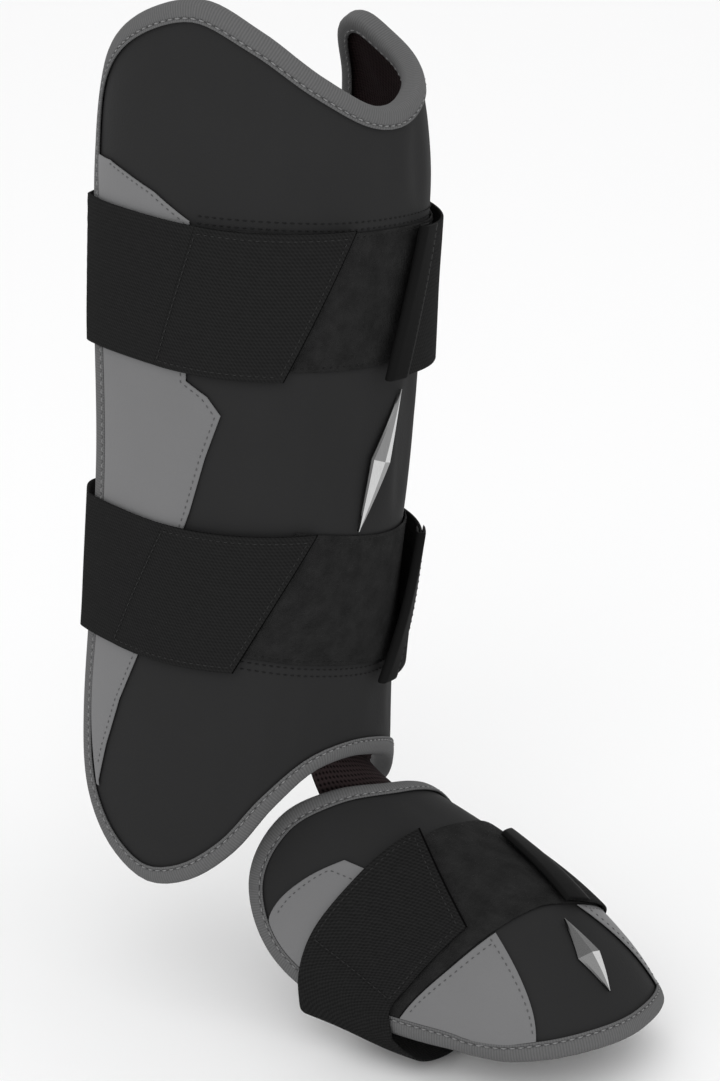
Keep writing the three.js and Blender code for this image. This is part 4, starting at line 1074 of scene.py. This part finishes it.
def brushed_metal(name, dark, light):
    """Metal brushed along its length: fine streaks in tone, gloss and relief."""
    material, tree, shader = new_material(name, 0.3, 0.5)
    shader.inputs["Metallic"].default_value = 1.0
    shader.inputs["Specular Tint"].default_value = (1, 1, 1, 1)
    where = place(tree, "ShaderNodeTexCoord").outputs["Object"]
    stretched = place(tree, "ShaderNodeMapping")
    stretched.inputs["Scale"].default_value = (1, 1, 0.06)
    tree.links.new(where, stretched.inputs["Vector"])
    brushed = place(tree, "ShaderNodeTexNoise", Scale=2600.0, Detail=3.0)
    tree.links.new(stretched.outputs["Vector"], brushed.inputs["Vector"])
    streaks = brushed.outputs["Fac"]
    tree.links.new(between(tree, (dark,) * 3, (light,) * 3, streaks), shader.inputs["Base Color"])
    rough = reckon(tree, "ADD", reckon(tree, "MULTIPLY", streaks, 0.2), 0.2)
    tree.links.new(rough, shader.inputs["Roughness"])
    add_relief(tree, shader, streaks, 0.15, 0.0001)
    return material


# The bright tone is the metal's own; the two darker copies are painted shade for facets turned from the
# light.
bright_metal = brushed_metal("bright brushed metal", 0.5, 0.66)
half_shaded_metal = brushed_metal("brushed metal, painted half shade", 0.2, 0.28)
shaded_metal = brushed_metal("brushed metal, painted shade", 0.1, 0.15)


def lozenge(name, face, first, last, node, left=(0, 1), right=(1, 0)):
    """A faceted lozenge with a ridge, set on a face between two places. Left and right give the metal
    of the two facets on that side, painted lit or shaded: 0 bright, 1 painted half shade, 2 painted
    shade, which also covers the outer bevels, the sides and the foot."""
    s = np.linspace(0, 1, 33)
    first, last = np.asarray(first, float), np.asarray(last, float)
    turn, along = (first[k] + (last[k] - first[k]) * s for k in (0, 1))
    heading = unit(face.point(*last) - face.point(*first))
    sideways = unit(np.cross(heading, face.normal(turn, along)))
    share = np.maximum(1 - np.abs(2 * s - 1), 0.03)
    tops, feet = [], []
    for side, rim in ((-1, 0.16), (-0.86, 0.42), (0, 1), (0.86, 0.42), (1, 0.16)):
        wide = np.abs(side) * share * badge_width / 2
        place_turn, place_along = face.slide(turn, along, sideways * (1 if side > 0 else -1),
                                             np.maximum(wide, 1e-4)[:, None])
        tall = badge_height * (rim if side else 0.42 + 0.58 * share)
        tops.append(face.over(place_turn, place_along, lay_gap + tall))
        feet.append(face.over(place_turn, place_along, lay_gap))
    points, faces = close_sheet(np.stack(tops, 1), np.stack(feet, 1))
    half = len(s) // 2
    shows = np.full(len(faces), 2)
    facets = np.arange(4 * (len(s) - 1)).reshape(-1, 4)
    shows[facets[:half, 1]], shows[facets[half:, 1]] = left
    shows[facets[:half, 2]], shows[facets[half:, 2]] = right
    make_piece(name, points, faces, [bright_metal, half_shaded_metal, shaded_metal], "bright_metal", [node],
               sharp=15, shows=shows)


badge_turn = 3
badge_along = (upper_strap_height + lower_strap_height) / 2 - ankle_clearance - 4
lozenge("shin_badge_metal", shin, (badge_turn - 9, badge_along - badge_length / 2),
        (badge_turn + 9, badge_along + badge_length / 2), "shin_badge")


# Foot pad
# The shell over the instep and toes: the same black leather over foam, domed along the foot, with
# its inner side covered in a dark knit like the shin's lining.

foot_length, instep_height, foot_width, toe_out, sole_passage = 141, 98, 108, 10, 14
foot_power = 2.3
# along, root, lean, medial, lateral, reach, sole
foot_sections = [
    (0, 0.2, 90, 0.435, 0.481, 1, 0), (0.2, 0.383, 80, 0.463, 0.537, 0.878, 0.02),
    (0.4, 0.582, 66, 0.481, 0.528, 0.776, 0.35), (0.6, 0.766, 49, 0.5, 0.5, 0.704, 0.85),
    (0.8, 0.908, 28, 0.5, 0.454, 0.663, 1), (1, 1, 3, 0.472, 0.455, 0.653, 1),
]
# turn over the foot, along
foot_outline = [
    (-44, 0.036), (-35, 0.04), (-24, 0.078), (-12, 0.155), (0, 0.216), (14, 0.245), (30, 0.258),
    (48, 0.3), (58, 0.38), (63, 0.5), (68, 0.64), (73, 0.8), (70, 0.925), (57, 0.993), (36, 0.998),
    (15, 0.975), (-8, 0.967), (-30, 0.962), (-50, 0.972), (-70, 0.99), (-79.5, 0.965), (-82.5, 0.88),
    (-86, 0.7), (-86.5, 0.48), (-81, 0.28), (-70, 0.145), (-57, 0.07),
]
foot_corners = (0, 8, 12, 20)


def foot_point(turn, along):
    side, ahead = np.sin(np.radians(turn)), np.cos(np.radians(turn))
    read = [read_table(foot_sections, k, along) for k in range(7)]
    half_width = foot_width * np.where(side < 0, read[3], read[4])
    lean = np.radians(read[2])
    radius = section_radius(side, ahead, half_width, instep_height * read[5], foot_power)
    under = ahead < 0
    flat_side = np.sign(side) * half_width * np.abs(side) ** (2 / foot_power)
    flat_up = -sole_passage * read[6] * np.abs(ahead) ** (2 / foot_power)
    across = np.where(under, flat_side, radius * side)
    forward = foot_length * read[1] + np.where(under, 0, radius * ahead * np.cos(lean))
    up = np.where(under, flat_up, radius * ahead * np.sin(lean))
    out = math.radians(toe_out)
    return np.stack([across * math.cos(out) + forward * math.sin(out),
                     across * math.sin(out) - forward * math.cos(out), up], -1)


foot = Face(foot_point, -1, 0.3, 0.003)
foot_spans = np.array([math.pi * foot_width / 360, foot_length])
foot_grid, foot_sides = fill_outline(
    foot_outline, foot_corners, foot_spans, np.linspace(0, 1, 58), np.linspace(0, 1, 58))
foot_ring = ring_of(foot_sides)
foot_edge = foot.point(*foot_ring.T)
foot_turn, foot_along = foot_grid[..., 0], foot_grid[..., 1]
foot_deep, foot_from_edge = pad_depth(foot, foot_edge, foot_turn, foot_along)

# The loop field's edges: turn, rear, front
foot_loop_rows = [
    (-82, 0.3, 0.6), (-70, 0.3, 0.585), (-45, 0.33, 0.583), (-28, 0.345, 0.588), (-15, 0.35, 0.599),
    (-4, 0.357, 0.615), (8, 0.378, 0.65), (25, 0.4, 0.69), (52, 0.45, 0.7),
]
toe_ridge_inner, toe_ridge_outer = (-26, -47), (9, 23)
on_toe_panel = (foot_turn < toe_ridge_inner[0]) | (foot_turn > toe_ridge_outer[0])
foot_sewn = (
    (foot_from_edge < tape_width + sewn_margin)
    | ((foot_along > read_table(foot_loop_rows, 1, foot_turn) - 0.02)
       & (foot_along < read_table(foot_loop_rows, 2, foot_turn) + 0.02))
    | on_toe_panel
)
foot_skin = blow_up(foot.point(foot_turn, foot_along), foot_sewn, 1.1)
foot_knit = knit("foot knit", (0.012, 0.010, 0.010), (0.018, 0.012, 0.012), (0.004, 0.003, 0.003), 420)
cells, edge_cells = foot_turn[1:, 1:].size, 2 * sum(foot_turn[1:, 1:].shape)
make_pad("foot_pad_skin", foot_skin, foot.over(foot_turn, foot_along, -foot_deep),
         [black_leather, foot_knit], "foot_pad", uv=laid_uv(foot_skin),
         shows=np.repeat([0, 1, 0], [cells, cells, edge_cells]))


# Edge tape of the foot pad
# The same ribbed tape, folded over the whole edge and sewn through.

edge_tape("foot_binding_tape", foot, foot_ring, pad_edge, "foot_binding")


# Loop field and overlays of the foot pad
# A field of loop pile crosses the instep under the strap. Grey leather overlays cover both sides of
# the toes and the inner side behind the strap, each sewn on 2 mm inside its edge.

def edges_of(rows):
    def along(turn, across):
        rear, front = read_table(rows, 1, turn), read_table(rows, 2, turn)
        return rear + (front - rear) * across
    return along


def beside_tape(side, skip):
    """Places along the inner edge of the tape's outer leg, from the places of one side of the edge."""
    at = np.array([np.argmin(np.abs(foot_ring - place).sum(1)) for place in side])
    points = foot.point(*foot_ring.T)
    count = len(points)
    ahead = unit(points[(at + 1) % count] - points[(at - 1) % count])
    inward = unit(np.cross(ahead, foot.normal(*foot_ring[at].T)))
    turn, along = foot.slide(*foot_ring[at].T, inward, tape_width + gap / 2)
    return np.stack([turn, along], -1)[skip:len(at) - skip]


side_inner = beside_tape(foot_sides[3][:-1], 0)[::-1]
side_outer = beside_tape(foot_sides[1][:-1], 0)
side_toes = beside_tape(foot_sides[2][:-1], 3)[::-1]


def turn_at(side, along):
    order = np.argsort(side[:, 1])
    return np.interp(along, side[order, 1], side[order, 0])


def along_at_turn(side, turn):
    order = np.argsort(side[:, 0])
    return np.interp(turn, side[order, 0], side[order, 1])


loop_edges = edges_of(foot_loop_rows)
foot_loop_length, foot_loop_width = 150, 45
across = fine_cuts(foot_loop_width, loop_cell, loop_bead)
down = fine_cuts(foot_loop_length, loop_cell, loop_bead)
first = turn_at(side_inner, loop_edges(foot_loop_rows[0][0], across))
last = turn_at(side_outer, loop_edges(foot_loop_rows[-1][0], across))
turn = first + (last - first) * down[:, None]
along = loop_edges(turn, across[None, :])
fluff = 0.07 * np.sin(turn * 5.1 + along * 240) * np.sin(along * 320 - turn * 3.9)
lay_piece("foot_loop_pile", foot, turn, along, lay_gap + fluff, loop_thickness, loop_bead, loop_pile,
          "loop_pile", "foot_loop_field")
seam_share = 2 * gap / foot_length


def toe_panel(name, ridge, side, toe_end):
    """An overlay beside the toes, between the loop field, the tape and its free edge on the ridge."""
    def rear_at(turn):
        return read_table(foot_loop_rows, 2, turn) + seam_share

    corner_turn = float(turn_at(side, rear_at(toe_end[0])))
    cuts = fine_cuts(panel_width, 2.0, panel_bead)
    rear_turn = ridge[0] + (corner_turn - ridge[0]) * cuts
    front_turn = ridge[1] + (toe_end[0] - ridge[1]) * cuts
    rear = np.stack([rear_turn, rear_at(rear_turn)], -1)
    front = np.stack([front_turn, along_at_turn(side_toes, front_turn)], -1)
    free = rear[0] + (front[0] - rear[0]) * cuts[:, None]
    taped_along = rear[-1, 1] + (front[-1, 1] - rear[-1, 1]) * cuts
    taped = np.stack([turn_at(side, taped_along), taped_along], -1)
    taped[0], taped[-1] = rear[-1], front[-1]
    grid = fill_between(rear, taped, front, free, cuts, cuts)
    lay_piece(name + "_leather", foot, grid[..., 0], grid[..., 1], lay_gap, panel_thickness, panel_bead,
              grey_leather, "grey_leather", name, square=["last", "right"])
    column = int(np.argmin(np.abs(cuts - stitch_inset / panel_width)))
    sewn = grid[2:-4, column]
    back_row = grid[column, column:-6]
    sew(name + "_stitches",
        [seam_over(foot, *sewn.T, lay_gap + panel_thickness),
         seam_over(foot, *back_row.T, lay_gap + panel_thickness)], grey_thread, "grey_leather")


toe_panel("foot_toe_panel", toe_ridge_inner, side_inner, side_toes[0])
toe_panel("foot_outer_panel", toe_ridge_outer, side_outer, side_toes[-1])

# turn, rear edge
rear_panel_rows = [(-28, 0.252), (-38, 0.18), (-47, 0.13), (-54, 0.112), (-66, 0.15), (-75, 0.2)]
rear_panel_length, rear_panel_width = 48, 26
cuts = fine_cuts(rear_panel_length, 1.8, panel_bead)
across = fine_cuts(rear_panel_width, 1.8, panel_bead)
turn = (rear_panel_rows[0][0] + (rear_panel_rows[-1][0] - rear_panel_rows[0][0]) * cuts)[:, None]
heel = side_inner[side_inner[:, 1] < foot_loop_rows[0][1]]
rear = np.maximum(read_table(rear_panel_rows, 1, turn), along_at_turn(heel, turn))
front = read_table(foot_loop_rows, 1, turn) - seam_share
along = rear + (front - rear) * across
turn = np.broadcast_to(turn, along.shape)
lay_piece("foot_rear_panel_leather", foot, turn, along, lay_gap, panel_thickness, panel_bead, grey_leather,
          "grey_leather", "foot_rear_panel")
column = int(np.argmin(np.abs(across - stitch_inset / rear_panel_width)))
sew("foot_rear_panel_stitches",
    [seam_over(foot, turn[6:-16, column], along[6:-16, column], lay_gap + panel_thickness),
     seam_over(foot, turn[6, column:-6], along[6, column:-6], lay_gap + panel_thickness)],
    grey_thread, "grey_leather")


# Foot strap, its tab and its pull strip
# A wide crepe elastic strap goes from its hook tab on the instep over the inner side, under the
# sole and up the outer side, where its free end is folded into a strip of tape.

foot_strap_length, foot_strap_width, foot_tab_length, foot_stand_off = 300, 50, 50, 2
foot_strip_width, foot_strip_overhang = 40, 0.02
# turn, rear, front, lift
foot_strap_rows = [
    (-5, 0.345, 0.56, 0), (-30, 0.297, 0.546, 0), (-60, 0.247, 0.548, 0), (-76, 0.252, 0.56, 0),
    (-91, 0.285, 0.655, 0.2), (-110, 0.34, 0.74, 0.4), (-135, 0.38, 0.775, 0.3), (-180, 0.38, 0.78, 0),
    (-225, 0.37, 0.78, 0.1), (-269, 0.365, 0.765, 0.2), (-300, 0.41, 0.765, 0.1),
    (-320, 0.44, 0.735, 0.1), (-345, 0.45, 0.675, 0.2), (-358, 0.45, 0.63, 0.3),
]
# turn of each slanting end, at its rear and its front edge
foot_ends = {"end": (-9, -30), "seam": (-56, -71), "start": (-347, -356)}
strap_crepe = woven("foot strap crepe", twill, (0.006, 0.006, 0.006), (0.022, 0.022, 0.022), 0.04, 0.8,
                    0.0004, Ribs_per_m=620.0, Slant=0.75, Waver=9.0)
foot_band = edges_of(foot_strap_rows)


def foot_inner(turn, along):
    return over_tape + foot_stand_off * read_table(foot_strap_rows, 3, turn)


across = fine_cuts(foot_strap_width, 2.2, 0.9)
tab_end = np.asarray(foot_ends["seam"]) + tab_seam_gap / foot_spans[0]
lay_tab("foot", foot, foot_spans, foot_ends["end"], tab_end, -1, foot_ends, foot_band,
        fine_cuts(foot_tab_length, 2.0, 0.8), across, foot_strap_width, strap_crepe)
down = fine_cuts(foot_strap_length, 1.6, 0.9)
turn, along = band_places(foot_ends["seam"], foot_ends["start"], foot_band, down, across)
lay_piece("foot_strap_band", foot, turn, along, foot_inner(turn, along), strap_thickness, 0.9, strap_crepe,
          "elastic", "foot_strap", square=["first"])

across = (1 + 2 * foot_strip_overhang) * fine_cuts(foot_strip_width, 1.8, 1.2) - foot_strip_overhang
start = foot_ends["start"][0] + (foot_ends["start"][1] - foot_ends["start"][0]) * across
path = strip_front + [(0, angle) for angle in (90, 65, 35, 0)]
fold_strip("foot_pull_strip", foot, foot_spans, start, across, path, foot_band, foot_inner)


# Ornament on the toes
# A smaller lozenge of the same metal, in line with the foot, its facets also painted lit and shaded.

foot_badge_length, along_per_mm = 40, 0.0047
half_span = along_per_mm * foot_badge_length / 2
lozenge("foot_badge_metal", foot, (-11, 0.757 + half_span), (-3, 0.757 - half_span), "foot_badge",
        left=(1, 2), right=(0, 2))


# Ankle link
# A tongue of open knit mesh that joins the two guards, sewn behind the shin's ankle arch and behind
# the foot guard's rear rim, and pulled taut between them.

link_width, link_thickness, link_tuck = 41, 1.8, 16
arch_middle, rim_middle = 2, 8
link_knit = knit("link knit", (0.022, 0.019, 0.019), (0.034, 0.021, 0.022), (0.001, 0.0007, 0.0007), 270)

under_tape = pad_edge + tape_thickness + lay_gap + 2 * gap
under_rim = under_tape + 5 * gap
arch_rows = np.asarray(shin_outline[20:25])
lanes = []
for sideways in (fine_cuts(link_width, 1.7, 0.8) - 0.5) * link_width:
    turn = arch_middle + sideways / shin_spans[0]
    turn_on_foot = rim_middle + sideways / foot_spans[0]
    arch = read_table(arch_rows, 1, turn) * shin_length
    rim = read_table(foot_outline[:8], 1, turn_on_foot)
    route = []
    for share in (1, 0.5, 0):
        spot = np.array([turn]), np.array([arch + share * link_tuck])
        tucked = pad_depth(shin, shin_edge, *spot)[0] + 2 * gap
        deep = {0: under_rim, 0.5: under_tape, 1: tucked}[share]
        route.append(shin.over(*spot, -deep - lay_gap - lining_thickness - gap)[0])
    for share in (0, 0.5, 1):
        spot = np.array([turn_on_foot]), np.array([rim + share * link_tuck / foot_length])
        tucked = pad_depth(foot, foot_edge, *spot)[0] + lay_gap + gap
        deep = {0: under_rim, 0.5: under_tape, 1: tucked}[share]
        route.append(foot.over(*spot, -deep)[0])
    lanes.append(knotted(np.array([np.ravel(point) for point in route]), 9, closed=False))
link_outer = np.stack(lanes)
beside = unit(np.gradient(link_outer, axis=0))
onward = unit(np.gradient(link_outer, axis=1))
link_inner = link_outer + unit(np.cross(beside, onward)) * link_thickness
points, faces = close_sheet(link_outer, link_inner)
link = make_piece("ankle_link_knit", points, faces, [link_knit], "link_mesh", ["ankle_link"],
                  uv=laid_uv(link_outer))
